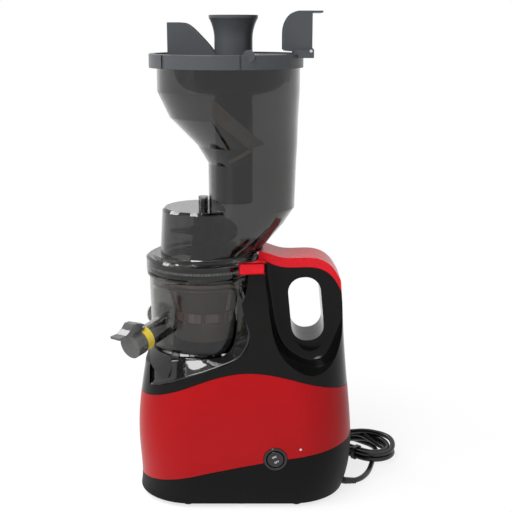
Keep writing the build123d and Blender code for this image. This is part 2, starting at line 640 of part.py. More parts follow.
with BuildPart() as indicator_lens:
    with BuildSketch(Plane(origin=(LENS_X, LENS_FACE, LENS_Z), x_dir=(1, 0, 0), z_dir=(0, -1, 0))):
        Circle(LENS_RADIUS)
    extrude(amount=-LENS_LENGTH)
    fillet(indicator_lens.edges().group_by(Axis.Y)[0], 0.6)
save(indicator_lens.part, "indicator_lens")

# ---------------------------------------------------------------- gearbox
def gear_outline(teeth, module, phase, hollow=False):
    """The corner points of an involute gear, or of the space inside a ring gear."""
    pitch = module * teeth / 2
    base = pitch * math.cos(math.radians(ACROSS))
    grow = BACKLASH if hollow else -BACKLASH
    tip = pitch + module * (DEDENDUM if hollow else ADDENDUM)
    root = pitch - module * (ADDENDUM if hollow else DEDENDUM)

    def involute(radius):
        angle = math.acos(min(1, base / radius))
        return math.tan(angle) - angle

    def half_tooth(radius):
        return math.pi / 2 / teeth + grow * module / pitch + involute(pitch) - involute(radius)

    steps = 4
    start = max(base, root)
    flank = [start + (tip - start) * step / (steps - 1) for step in range(steps)]
    side = [(radius, half_tooth(radius)) for radius in flank]
    if root < base:
        side.insert(0, (root, half_tooth(base)))
    points = []
    for tooth in range(teeth):
        middle = math.radians(phase) + 2 * math.pi * tooth / teeth
        for radius, half in side:
            points.append((radius * math.cos(middle - half), radius * math.sin(middle - half)))
        for radius, half in reversed(side):
            points.append((radius * math.cos(middle + half), radius * math.sin(middle + half)))
    return points


def gear_plane(axis, z):
    return Plane(origin=(axis[0], axis[1], z))


def gear_face(teeth, module, phase, hollow=False):
    """Add a gear's outline to the open sketch."""
    Polygon(*gear_outline(teeth, module, phase, hollow), align=None)


def half_step(teeth):
    return 180 / teeth


def box_outline(inset):
    """The gearbox outline: a hull round the output gear, the second gear and the motor."""
    with Locations(ORIGIN):
        Circle(BOX_RADIUS - inset)
    with Locations(SECOND_AXIS):
        Circle(tip_radius(SECOND_TEETH, MEDIUM) + GEAR_SIDE + BOX_WALL - inset)
    with Locations(FIRST_AXIS):
        Circle(tip_radius(FIRST_TEETH, FINE) + GEAR_SIDE + BOX_WALL - inset)
    with Locations(MOTOR_AXIS):
        Circle(MOTOR_RADIUS + BOX_WALL - inset)
    make_hull()


PIN_SEAT = 2.0                        # depth of the gear pins in the floor and the lid
BUSH_RADIUS = OUTPUT_RADIUS + BUSH_WALL
LOWER_BUSH_TOP = OUTPUT_Z - 8
UPPER_BUSH_TOP = LID_TOP + 8

with BuildPart() as gearbox_case:
    with BuildSketch(Plane.XY.offset(BOX_FLOOR)):
        box_outline(0)
        with Locations(*EAR_SPOTS):
            Circle(EAR_RADIUS)
    extrude(amount=BOX_TOP - BOX_FLOOR)
    with BuildSketch(Plane.XY.offset(BOX_FLOOR + BOX_WALL)):
        box_outline(BOX_WALL)
    extrude(amount=BOX_TOP - BOX_FLOOR, mode=Mode.SUBTRACT)
    with BuildSketch(Plane.XY.offset(BOX_FLOOR)):
        Circle(BUSH_RADIUS + BUSH_WALL)
    extrude(amount=LOWER_BUSH_TOP - BOX_FLOOR)
    with BuildSketch(Plane.XY.offset(BOX_FLOOR)):
        Circle(BUSH_RADIUS + FIXED)
        with Locations(MOTOR_AXIS):
            Circle(tip_radius(MOTOR_TEETH, FINE) + 0.8)
        with Locations(*EAR_SPOTS):
            Circle(SCREW_SHANK + 0.2)
    extrude(amount=60, mode=Mode.SUBTRACT)
    with BuildSketch(Plane.XY.offset(BOX_FLOOR + BOX_WALL)):
        with Locations(SECOND_AXIS, FIRST_AXIS):
            Circle(PIN_RADIUS + FIXED)
    extrude(amount=-PIN_SEAT, mode=Mode.SUBTRACT)
save(gearbox_case.part, "gearbox_case")

with BuildPart() as gearbox_lid:
    with BuildSketch(Plane.XY.offset(BOX_TOP)):
        box_outline(0)
        with Locations(*EAR_SPOTS):
            Circle(EAR_RADIUS)
    extrude(amount=LID_THICK)
    with BuildSketch(Plane.XY.offset(BOX_TOP)):
        Circle(BUSH_RADIUS + BUSH_WALL)
    extrude(amount=UPPER_BUSH_TOP - BOX_TOP)
    with BuildSketch(Plane.XY.offset(BOX_TOP)):
        Circle(BUSH_RADIUS + FIXED)
        with Locations(*EAR_SPOTS):
            Circle(SCREW_SHANK + 0.2)
    extrude(amount=60, mode=Mode.SUBTRACT)
    with BuildSketch(Plane.XY.offset(BOX_TOP)):
        with Locations(SECOND_AXIS, FIRST_AXIS):
            Circle(PIN_RADIUS + FIXED)
    extrude(amount=PIN_SEAT, mode=Mode.SUBTRACT)
save(gearbox_lid.part, "gearbox_lid")

with BuildPart() as gearbox_screws:
    with BuildSketch(Plane.XY.offset(BOX_FLOOR)):
        with Locations(*EAR_SPOTS):
            Circle(SCREW_HEAD)
    extrude(amount=-2.2)
    with BuildSketch(Plane.XY.offset(BOX_FLOOR)):
        with Locations(*EAR_SPOTS):
            Circle(SCREW_SHANK - FIXED)
    extrude(amount=LID_TOP + SCREW_GRIP - 1 - BOX_FLOOR)
save(gearbox_screws.part, "gearbox_screws")

with BuildPart() as gear_pins:
    with BuildSketch(Plane.XY.offset(BOX_FLOOR + BOX_WALL - PIN_SEAT)):
        with Locations(SECOND_AXIS, FIRST_AXIS):
            Circle(PIN_RADIUS)
    extrude(amount=BOX_TOP - BOX_FLOOR - BOX_WALL + 2 * PIN_SEAT)
save(gear_pins.part, "gear_pins")

with BuildPart() as output_bushes:
    for bottom, top in ((BOX_FLOOR, LOWER_BUSH_TOP), (BOX_TOP, UPPER_BUSH_TOP)):
        with BuildSketch(Plane.XY.offset(bottom)):
            Circle(BUSH_RADIUS)
            Circle(OUTPUT_RADIUS + RUN, mode=Mode.SUBTRACT)
        extrude(amount=top - bottom)
save(output_bushes.part, "output_bushes")


def rod(axis, bottom, top, radius, mode=Mode.ADD):
    """A round bar or bore about a vertical axis, in the open part."""
    with Locations((axis[0], axis[1], bottom)):
        Cylinder(radius, top - bottom, align=(Align.CENTER, Align.CENTER, Align.MIN), mode=mode)


INSIDE_LOW, INSIDE_HIGH = BOX_FLOOR + BOX_WALL + FLOAT, BOX_TOP - FLOAT
with BuildPart() as first_gear:
    with BuildSketch(gear_plane(FIRST_AXIS, FIRST_Z)):
        gear_face(FIRST_TEETH, FINE, MOTOR_ANGLE)
    extrude(amount=FIRST_WIDTH)
    with BuildSketch(gear_plane(FIRST_AXIS, FIRST_Z)):
        toward_second = FIRST_ANGLE + 180
        gear_face(FIRST_PINION_TEETH, MEDIUM, toward_second + half_step(FIRST_PINION_TEETH))
    extrude(amount=SECOND_Z + SECOND_WIDTH - FIRST_Z)
    rod(FIRST_AXIS, INSIDE_LOW, INSIDE_HIGH, PIN_RADIUS + HUB_WALL)
    rod(FIRST_AXIS, INSIDE_LOW, INSIDE_HIGH, PIN_RADIUS + RUN, Mode.SUBTRACT)
save(first_gear.part, "first_gear")

with BuildPart() as second_gear:
    with BuildSketch(gear_plane(SECOND_AXIS, SECOND_Z)):
        gear_face(SECOND_TEETH, MEDIUM, FIRST_ANGLE)
    extrude(amount=SECOND_WIDTH)
    with BuildSketch(gear_plane(SECOND_AXIS, SECOND_Z)):
        toward_output = SECOND_ANGLE + 180
        gear_face(SECOND_PINION_TEETH, COARSE, toward_output + half_step(SECOND_PINION_TEETH))
    extrude(amount=OUTPUT_Z + OUTPUT_WIDTH - SECOND_Z)
    rod(SECOND_AXIS, INSIDE_LOW, INSIDE_HIGH, PIN_RADIUS + HUB_WALL)
    rod(SECOND_AXIS, INSIDE_LOW, INSIDE_HIGH, PIN_RADIUS + RUN, Mode.SUBTRACT)
save(second_gear.part, "second_gear")

with BuildPart() as output_gear:
    with BuildSketch(Plane.XY.offset(OUTPUT_Z)):
        gear_face(OUTPUT_TEETH, COARSE, SECOND_ANGLE)
        Circle(OUTPUT_RADIUS + FIXED, mode=Mode.SUBTRACT)
    extrude(amount=OUTPUT_WIDTH)
    # thinned web with a hub
    for z, depth in ((OUTPUT_Z, 4), (OUTPUT_Z + OUTPUT_WIDTH, -4)):
        with BuildSketch(Plane.XY.offset(z)):
            Circle(tip_radius(OUTPUT_TEETH, COARSE) - 3 * COARSE - 3)
            Circle(OUTPUT_RADIUS + 6, mode=Mode.SUBTRACT)
        extrude(amount=depth, mode=Mode.SUBTRACT)
save(output_gear.part, "output_gear")

with BuildPart() as output_shaft:
    with BuildSketch(Plane.XY.offset(BOX_FLOOR + 0.5)):
        Circle(OUTPUT_RADIUS)
    extrude(amount=SHAFT_SHOULDER - BOX_FLOOR - 0.5)
    with BuildSketch(Plane.XY.offset(SHAFT_SHOULDER)):
        RegularPolygon(HEX_RADIUS, 6)
    extrude(amount=HEX_LENGTH)
    chamfer(output_shaft.edges().group_by(Axis.Z)[-1], 0.8)
save(output_shaft.part, "output_shaft")

with BuildPart() as shaft_seal:
    with BuildSketch(Plane.XY.offset(SEAT_Z - SEAT_THICK - SEAL_HEIGHT)):
        Circle(SEAL_RADIUS - FIXED)
        Circle(OUTPUT_RADIUS + RUN, mode=Mode.SUBTRACT)
    extrude(amount=SEAL_HEIGHT - FIXED)
save(shaft_seal.part, "shaft_seal")

# ---------------------------------------------------------------- motor
MOTOR_TOP = BOX_FLOOR - MOUNT_THICK
MOTOR_FLOOR = MOTOR_TOP - MOTOR_LENGTH
BEARING_RADIUS, BEARING_WIDTH = 8.0, 5.0
LOW_BEARING_Z = MOTOR_FLOOR + MOTOR_WALL
HIGH_BEARING_Z = MOTOR_TOP - MOTOR_WALL - BEARING_WIDTH
BRUSH_Z = LOW_BEARING_Z + BEARING_WIDTH + 7
COMMUTATOR_RADIUS, COMMUTATOR_LENGTH = 9.0, 11.0
CORE_BOTTOM = BRUSH_Z + COMMUTATOR_LENGTH / 2 + 5
WINDING = 3.5
FAN_Z = MOTOR_FLOOR - FAN_WIDTH - 3

with BuildPart() as motor_can:
    with BuildSketch(gear_plane(MOTOR_AXIS, MOTOR_FLOOR)):
        Circle(MOTOR_RADIUS)
    extrude(amount=MOTOR_LENGTH)
    with BuildSketch(gear_plane(MOTOR_AXIS, MOTOR_FLOOR + MOTOR_WALL)):
        Circle(MOTOR_RADIUS - MOTOR_WALL)
    extrude(amount=MOTOR_LENGTH - 2 * MOTOR_WALL, mode=Mode.SUBTRACT)
    for bottom in (LOW_BEARING_Z, HIGH_BEARING_Z):
        with BuildSketch(gear_plane(MOTOR_AXIS, bottom)):
            Circle(BEARING_RADIUS + 2)
            Circle(BEARING_RADIUS + FIXED, mode=Mode.SUBTRACT)
        extrude(amount=BEARING_WIDTH)
    with BuildSketch(gear_plane(MOTOR_AXIS, MOTOR_FLOOR)):
        Circle(tip_radius(MOTOR_TEETH, FINE) + 0.8)
        with PolarLocations(MOTOR_RADIUS - 12, 6):
            Circle(4)
    extrude(amount=MOTOR_LENGTH, mode=Mode.SUBTRACT)
save(motor_can.part, "motor_can")

with BuildPart() as motor_mount:
    with BuildSketch(gear_plane(MOTOR_AXIS, MOTOR_TOP)):
        Circle(MOTOR_RADIUS)
        Circle(BEARING_RADIUS + 6, mode=Mode.SUBTRACT)
    extrude(amount=MOUNT_THICK)
save(motor_mount.part, "motor_mount")

with BuildPart() as field_core:
    with BuildSketch(gear_plane(MOTOR_AXIS, CORE_BOTTOM)):
        Circle(MOTOR_RADIUS - MOTOR_WALL - FIXED)
        Circle(ROTOR_RADIUS + 0.6, mode=Mode.SUBTRACT)
        # slots that take the two field coils
        with PolarLocations(ROTOR_RADIUS + 5.5, 4, start_angle=45):
            Circle(COIL_ROD + 0.3, mode=Mode.SUBTRACT)
    extrude(amount=ROTOR_LENGTH)
save(field_core.part, "field_core")

with BuildPart() as field_coils:
    with BuildSketch(gear_plane(MOTOR_AXIS, CORE_BOTTOM - 3)):
        with PolarLocations(ROTOR_RADIUS + 5.5, 4, start_angle=45):
            Circle(COIL_ROD)
    extrude(amount=ROTOR_LENGTH + 6)
    for bottom in (CORE_BOTTOM - 4.5, CORE_BOTTOM + ROTOR_LENGTH + 1.5):
        with BuildSketch(gear_plane(MOTOR_AXIS, bottom)):
            Circle(ROTOR_RADIUS + 5.5 + COIL_ROD)
            Circle(ROTOR_RADIUS + 5.5 - COIL_ROD, mode=Mode.SUBTRACT)
            Rectangle(2 * MOTOR_RADIUS, 2 * ROTOR_RADIUS, mode=Mode.SUBTRACT)
        extrude(amount=3)
save(field_coils.part, "field_coils")

with BuildPart() as motor_bearings:
    for bottom in (LOW_BEARING_Z, HIGH_BEARING_Z):
        with BuildSketch(gear_plane(MOTOR_AXIS, bottom)):
            Circle(BEARING_RADIUS)
            Circle(MOTOR_SHAFT + RUN, mode=Mode.SUBTRACT)
        extrude(amount=BEARING_WIDTH)
save(motor_bearings.part, "motor_bearings")

with BuildPart() as brush_holders:
    with BuildSketch(gear_plane(MOTOR_AXIS, BRUSH_Z - 4)):
        with PolarLocations((COMMUTATOR_RADIUS + MOTOR_RADIUS) / 2 + 1, 2, start_angle=0):
            Rectangle(MOTOR_RADIUS - COMMUTATOR_RADIUS - 2 * MOTOR_WALL - 4, 9)
    extrude(amount=8)
    with BuildSketch(gear_plane(MOTOR_AXIS, BRUSH_Z - 2.7)):
        Rectangle(3 * MOTOR_RADIUS, 6.4)
    extrude(amount=5.4, mode=Mode.SUBTRACT)
save(brush_holders.part, "brush_holders")

with BuildPart() as carbon_brushes:
    with BuildSketch(gear_plane(MOTOR_AXIS, BRUSH_Z - 2.5)):
        with PolarLocations(COMMUTATOR_RADIUS + RUN + 7, 2):
            Rectangle(14, 6)
    extrude(amount=5)
    with BuildSketch(gear_plane(MOTOR_AXIS, BRUSH_Z - 4)):
        Circle(COMMUTATOR_RADIUS + RUN)
    extrude(amount=8, mode=Mode.SUBTRACT)
save(carbon_brushes.part, "carbon_brushes")

with BuildPart() as motor_shaft:
    with BuildSketch(gear_plane(MOTOR_AXIS, FAN_Z - 1)):
        Circle(MOTOR_SHAFT)
    extrude(amount=FIRST_Z - FAN_Z + 1)
    with BuildSketch(gear_plane(MOTOR_AXIS, FIRST_Z - 0.5)):
        gear_face(MOTOR_TEETH, FINE, MOTOR_ANGLE + 180 + half_step(MOTOR_TEETH))
    extrude(amount=FIRST_WIDTH + 0.5)
save(motor_shaft.part, "motor_shaft")

with BuildPart() as armature_core:
    with BuildSketch(gear_plane(MOTOR_AXIS, CORE_BOTTOM)):
        Circle(ROTOR_RADIUS)
        Circle(MOTOR_SHAFT + FIXED, mode=Mode.SUBTRACT)
        with PolarLocations(ROTOR_RADIUS - 1, 12):
            Rectangle(4, 2.4, mode=Mode.SUBTRACT)
    extrude(amount=ROTOR_LENGTH)
save(armature_core.part, "armature_core")

with BuildPart() as armature_windings:
    for bottom in (CORE_BOTTOM - WINDING, CORE_BOTTOM + ROTOR_LENGTH):
        with BuildSketch(gear_plane(MOTOR_AXIS, bottom)):
            Circle(ROTOR_RADIUS - 3.5)
            Circle(MOTOR_SHAFT + FIXED, mode=Mode.SUBTRACT)
        extrude(amount=WINDING)
save(armature_windings.part, "armature_windings")

with BuildPart() as commutator:
    with BuildSketch(gear_plane(MOTOR_AXIS, BRUSH_Z - COMMUTATOR_LENGTH / 2)):
        Circle(COMMUTATOR_RADIUS)
        Circle(MOTOR_SHAFT + FIXED, mode=Mode.SUBTRACT)
    extrude(amount=COMMUTATOR_LENGTH)
save(commutator.part, "commutator")

with BuildPart() as cooling_fan:
    with BuildSketch(gear_plane(MOTOR_AXIS, FAN_Z)):
        Circle(MOTOR_SHAFT + 4)
        with PolarLocations(FAN_RADIUS / 2, FAN_BLADES):
            Rectangle(FAN_RADIUS, 2)
    extrude(amount=FAN_WIDTH)
    with BuildSketch(gear_plane(MOTOR_AXIS, FAN_Z)):
        Circle(FAN_RADIUS)
    extrude(amount=1.5)
    with BuildSketch(gear_plane(MOTOR_AXIS, FAN_Z)):
        Circle(MOTOR_SHAFT + FIXED)
    extrude(amount=FAN_WIDTH, mode=Mode.SUBTRACT)
save(cooling_fan.part, "cooling_fan")

# ---------------------------------------------------------------- juice bowl
SPOUT_PLANE = Plane(
    origin=(0, 0, SPOUT_Z + math.tan(math.radians(SPOUT_DROP)) * BOWL_RADIUS),
    x_dir=(-math.sin(math.radians(SPOUT_ANGLE)), math.cos(math.radians(SPOUT_ANGLE)), 0),
    z_dir=(
        math.cos(math.radians(SPOUT_ANGLE)) * math.cos(math.radians(SPOUT_DROP)),
        math.sin(math.radians(SPOUT_ANGLE)) * math.cos(math.radians(SPOUT_DROP)),
        -math.sin(math.radians(SPOUT_DROP)),
    ),
)
# the upright plane through the spout's axis: x outwards along it, y up
CAP_SIDE_PLANE = Plane(origin=SPOUT_PLANE.origin, x_dir=SPOUT_PLANE.z_dir, z_dir=-SPOUT_PLANE.x_dir)
PULP_PLANE = Plane(
    origin=(0, 0, PULP_Z),
    x_dir=(0, 0, 1),
    z_dir=polar(1, PULP_ANGLE),
)
FLOOR_TOP = SEAT_Z + BOWL_FLOOR
CAGE_BOTTOM = FLOOR_TOP + 6.8
PINION_AXIS = polar(COARSE * (WIPER_GEAR_TEETH + WIPER_PINION_TEETH) / 2, WIPER_ANGLE)[:2]
BOWL_INSIDE = BOWL_FOOT - BOWL_WALL

with BuildPart() as bowl:
    with BuildSketch(Plane.XZ):
        with BuildLine():
            Polyline(
                (0, SEAT_Z), (BOWL_FOOT - 3, SEAT_Z), (BOWL_FOOT, SEAT_Z + 5), (BOWL_RADIUS, BOWL_STRAIGHT),
                (BOWL_RADIUS, BOWL_LIP_Z - 2), (BOWL_LIP, BOWL_LIP_Z), (BOWL_LIP, BOWL_LIP_Z + 2.5),
                (BOWL_RADIUS, BOWL_LIP_Z + 3), (BOWL_RADIUS, BOWL_TOP), (0, BOWL_TOP), close=True,
            )
        make_face()
    revolve(axis=Axis.Z)
    with BuildSketch(SPOUT_PLANE.offset(BOWL_INSIDE - 4)):
        Circle(SPOUT_RADIUS)
    extrude(amount=SPOUT_REACH - BOWL_INSIDE + 4)
    with BuildSketch(PULP_PLANE.offset(BOWL_INSIDE - 4)):
        Circle(PULP_RADIUS)
    extrude(amount=PULP_REACH - BOWL_INSIDE + 4)
    with BuildSketch(Plane.XZ):
        with BuildLine():
            Polyline(
                (0, FLOOR_TOP), (BOWL_INSIDE - 3, FLOOR_TOP), (BOWL_INSIDE, FLOOR_TOP + 3),
                (BOWL_RADIUS - BOWL_WALL, BOWL_STRAIGHT), (BOWL_RADIUS - BOWL_WALL, BOWL_TOP + 1),
                (0, BOWL_TOP + 1), close=True,
            )
        make_face()
    revolve(axis=Axis.Z, mode=Mode.SUBTRACT)
    with BuildSketch(SPOUT_PLANE.offset(20)):
        Circle(SPOUT_BORE)
    extrude(amount=SPOUT_REACH, mode=Mode.SUBTRACT)
    with BuildSketch(PULP_PLANE.offset(BOWL_INSIDE - 11.8)):
        Circle(PULP_BORE)
    extrude(amount=PULP_REACH, mode=Mode.SUBTRACT)
    # hub for the auger's neck, and the step that the wiper cage turns on
    with BuildSketch(Plane.XY.offset(SEAT_Z)):
        Circle(HUB_RADIUS + BOWL_WALL)
    extrude(amount=HUB_TOP - SEAT_Z)
    with BuildSketch(Plane.XY.offset(FLOOR_TOP)):
        Circle(CAGE_WAIST_RADIUS + 1)
        Circle(CAGE_WAIST_RADIUS - 3, mode=Mode.SUBTRACT)
    extrude(amount=CAGE_BOTTOM - FLOOR_TOP - SEAM)
    with BuildSketch(Plane.XY.offset(SEAT_Z)):
        Circle(HUB_RADIUS)
    extrude(amount=60, mode=Mode.SUBTRACT)
    # moulded pin of the wiper pinion, with the shoulder it runs on
    rod(PINION_AXIS, FLOOR_TOP - 1, WIPER_GEAR_Z - FLOAT, PINION_PIN + 2)
    rod(PINION_AXIS, FLOOR_TOP - 1, WIPER_GEAR_Z + WIPER_GEAR_WIDTH, PINION_PIN)
    # locating tab that drops into the notch of the seat, under the spout
    with BuildSketch(Plane.XY.offset(SEAT_Z - 9)):
        with Locations(polar(BOWL_FOOT + 1.0, TAB_ANGLE)[:2]):
            Rectangle(3.0, SEAT_NOTCH - 1.4, rotation=TAB_ANGLE)
    extrude(amount=15)
    # ledge for the strainer's tabs
    with BuildSketch(Plane.XY.offset(LEDGE_Z - 3)):
        Circle(BOWL_RADIUS - BOWL_WALL + 0.5)
        Circle(BOWL_RADIUS - BOWL_WALL - 3, mode=Mode.SUBTRACT)
    extrude(amount=3)
    # lug over the spout's end for the cap's pin
    with BuildSketch(CAP_SIDE_PLANE):
        with Locations((SPOUT_REACH - 3.5, (SPOUT_RADIUS + CAP_HINGE) / 2)):
            Rectangle(5.5, CAP_HINGE - SPOUT_RADIUS + 4)
    extrude(amount=2.5, both=True)
    with BuildSketch(CAP_SIDE_PLANE):
        with Locations((SPOUT_REACH - 3.5, CAP_HINGE)):
            Circle(CAP_PIN + RUN)
    extrude(amount=6, both=True, mode=Mode.SUBTRACT)
save(bowl.part, "bowl")

with BuildPart() as bowl_seal:
    with BuildSketch(Plane.XY.offset(HUB_TOP - 5)):
        Circle(HUB_RADIUS - FIXED)
        Circle(NECK_RADIUS + RUN, mode=Mode.SUBTRACT)
    extrude(amount=5)
save(bowl_seal.part, "bowl_seal")

# ---------------------------------------------------------------- auger
AUGER_NECK_LOW = HUB_TOP - 6.5
with BuildPart() as auger:
    with BuildSketch(Plane.XZ):
        with BuildLine():
            core = Spline(
                (AUGER_CORE_LOW, AUGER_BOTTOM), (AUGER_CORE_LOW - 1, 225),
                (14, 270), (AUGER_CORE_HIGH, AUGER_TOP - 4),
            )
            Polyline(core @ 1, (AUGER_CORE_HIGH - 4, AUGER_TOP), (0, AUGER_TOP), (0, AUGER_BOTTOM), core @ 0)
        make_face()
    revolve(axis=Axis.Z)
    rod(ORIGIN, AUGER_NECK_LOW, WIPER_GEAR_Z, NECK_RADIUS)
    with BuildSketch(Plane.XY.offset(WIPER_GEAR_Z)):
        gear_face(WIPER_GEAR_TEETH, COARSE, WIPER_ANGLE)
    extrude(amount=WIPER_GEAR_WIDTH)
    rod(ORIGIN, WIPER_GEAR_Z + WIPER_GEAR_WIDTH, AUGER_BOTTOM, THROAT_RADIUS - LOOSE)
    # helical flights, each a ladder of short ruled steps
    for flight in range(FLIGHTS):
        steps = int(FLIGHT_TURNS * STEPS_PER_TURN)
        sections = []
        for step in range(steps + 1):
            share = step / steps
            angle = 360 * (flight / FLIGHTS + FLIGHT_TURNS * share)
            z = FLIGHT_LOW + (FLIGHT_HIGH - FLIGHT_LOW) * share
            reach = FLIGHT_FOOT + (FLIGHT_CROWN - FLIGHT_FOOT) * share
            plane = Plane(origin=(0, 0, z), x_dir=polar(1, angle), z_dir=polar(1, angle + 90))
            with BuildSketch(plane, mode=Mode.PRIVATE) as rung:
                with Locations(((reach + 6) / 2, 0)):
                    Rectangle(reach - 6, FLIGHT_THICK)
            sections.append(rung.sketch.face())
        add(Solid.make_loft([face.outer_wire() for face in sections], ruled=True))
    with BuildSketch(Plane.XY.offset(AUGER_NECK_LOW)):
        RegularPolygon(HEX_RADIUS + HEX_PLAY, 6)
    extrude(amount=SHAFT_SHOULDER + HEX_LENGTH + 1 - AUGER_NECK_LOW, mode=Mode.SUBTRACT)
    rod(ORIGIN, AUGER_NECK_LOW, SHAFT_SHOULDER + 1, OUTPUT_RADIUS + LOOSE, Mode.SUBTRACT)
    rod(ORIGIN, AUGER_TOP - 12, AUGER_TOP, AUGER_PIN + FIXED, Mode.SUBTRACT)
save(auger.part, "auger")

with BuildPart() as auger_pin:
    rod(ORIGIN, AUGER_TOP - 12, BOSS_TOP - 2.5, AUGER_PIN)
    fillet(auger_pin.edges().group_by(Axis.Z)[-1], 1)
save(auger_pin.part, "auger_top_pin")

# ---------------------------------------------------------------- wiper cage and strainer
CAGE_INSIDE = CAGE_WAIST_RADIUS - CAGE_WALL
CAGE_SLOPE = (CAGE_TOP_RADIUS - CAGE_WAIST_RADIUS) / (CAGE_TOP - CAGE_WAIST)
RING_TOP_Z = WIPER_GEAR_Z + WIPER_GEAR_WIDTH + 0.4


def cone_wall(bottom, top, inset, thick):
    """A thin wall that follows the cage, set inwards, in the open part."""
    waist = CAGE_WAIST_RADIUS - inset
    crown = waist + (top - CAGE_WAIST) * CAGE_SLOPE
    outline = [(waist, bottom), (waist, CAGE_WAIST), (crown, top)]
    inside = [(x - thick, z) for x, z in reversed(outline)]
    return Polygon(*outline, *inside, align=None)


def blade_set(play):
    """The four blades, or the slots that hold them when there is play."""
    heights = (BLADE_BOTTOM - play, BLADE_TOP + play)
    inside = [(CAGE_INSIDE - play + (z - CAGE_WAIST) * CAGE_SLOPE, z) for z in heights]
    outside = [(x + CAGE_WALL + BLADE_REACH + 2 * play, z) for x, z in reversed(inside)]
    with BuildPart() as blades:
        with BuildSketch(Plane.XZ):
            Polygon(*inside, *outside, align=None)
        extrude(amount=BLADE_THICK / 2 + play, both=True)
    with BuildPart() as ring:
        for number in range(BLADES):
            add(blades.part.rotate(Axis.Z, BLADE_ANGLE + 360 / BLADES * number))
    return ring.part


with BuildPart() as wiper_blades:
    add(blade_set(0))
save(wiper_blades.part, "wiper_blades")

with BuildPart() as wiper_cage:
    with BuildSketch(Plane.XZ):
        cone_wall(CAGE_BOTTOM, CAGE_TOP, 0, CAGE_WALL)
    revolve(axis=Axis.Z)
    with BuildSketch(Plane.XY.offset(CAGE_BOTTOM)):
        Circle(CAGE_WAIST_RADIUS - CAGE_WALL / 2)
        Polygon(
            *gear_outline(RING_TEETH, COARSE, WIPER_ANGLE + half_step(RING_TEETH), True),
            align=None, mode=Mode.SUBTRACT,
        )
    extrude(amount=RING_TOP_Z - CAGE_BOTTOM)
    with BuildSketch(Plane.XY.offset(WINDOW_LOW)):          # low row of wide windows
        with PolarLocations(CAGE_WAIST_RADIUS, WINDOWS):
            Rectangle(12, WINDOW_WIDTH)
    extrude(amount=WINDOW_HIGH - WINDOW_LOW, mode=Mode.SUBTRACT)
    add(blade_set(FIXED), mode=Mode.SUBTRACT)
save(wiper_cage.part, "wiper_cage")

with BuildPart() as wiper_pinion:
    with BuildSketch(gear_plane(PINION_AXIS, WIPER_GEAR_Z)):
        gear_face(WIPER_PINION_TEETH, COARSE, WIPER_ANGLE + 180 + half_step(WIPER_PINION_TEETH))
    extrude(amount=WIPER_GEAR_WIDTH)
    rod(PINION_AXIS, WIPER_GEAR_Z, WIPER_GEAR_Z + WIPER_GEAR_WIDTH, PINION_PIN + RUN, Mode.SUBTRACT)
save(wiper_pinion.part, "wiper_pinion")

STRAINER_FLOOR = RING_TOP_Z + 0.8
STRAINER_INSET = CAGE_WALL + STRAINER_GAP
FLANGE_TOP = LEDGE_Z + 2.5
with BuildPart() as strainer:
    with BuildSketch(Plane.XZ):
        cone_wall(STRAINER_FLOOR, LEDGE_Z + 1, STRAINER_INSET, STRAINER_WALL)
    revolve(axis=Axis.Z)
    rod(ORIGIN, STRAINER_FLOOR, STRAINER_FLOOR + 2.2, CAGE_WAIST_RADIUS - STRAINER_INSET)
    rod(ORIGIN, STRAINER_FLOOR, STRAINER_FLOOR + 2.2, THROAT_RADIUS, Mode.SUBTRACT)
    with BuildSketch(Plane.XY.offset(LEDGE_Z + SEAM)):      # rim with four tabs on the bowl's ledge
        Circle(CAGE_TOP_RADIUS + 1.5)
        with PolarLocations(0, 4, start_angle=BLADE_ANGLE):
            with Locations(((BOWL_RADIUS - BOWL_WALL - LOOSE) / 2, 0)):
                Rectangle(BOWL_RADIUS - BOWL_WALL - LOOSE, 10)
        Circle(CAGE_TOP_RADIUS - STRAINER_INSET - STRAINER_WALL, mode=Mode.SUBTRACT)
    extrude(amount=FLANGE_TOP - LEDGE_Z)
    with BuildSketch(Plane.XY.offset(MESH_LOW)):            # openings behind which the mesh lies
        with PolarLocations(CAGE_WAIST_RADIUS, PANELS):
            Rectangle(20, PANEL_WIDTH)
    extrude(amount=MESH_HIGH - MESH_LOW, mode=Mode.SUBTRACT)
save(strainer.part, "strainer")

with BuildPart() as strainer_mesh:
    with BuildSketch(Plane.XZ):
        cone_wall(STRAINER_FLOOR + 2.4, MESH_HIGH + 2, STRAINER_INSET + STRAINER_WALL + FIXED, 0.4)
    revolve(axis=Axis.Z)
save(strainer_mesh.part, "strainer_mesh")

# ---------------------------------------------------------------- spout cap and pulp plug
with BuildPart() as spout_seal:
    with BuildSketch(SPOUT_PLANE.offset(SPOUT_REACH - SEAL_WIDTH - 0.5)):
        Circle(SPOUT_SEAL)
        Circle(SPOUT_RADIUS + FIXED, mode=Mode.SUBTRACT)
        with Locations((0, CAP_HINGE)):
            Rectangle(5.6, 12, mode=Mode.SUBTRACT)
    extrude(amount=SEAL_WIDTH)
save(spout_seal.part, "spout_seal")

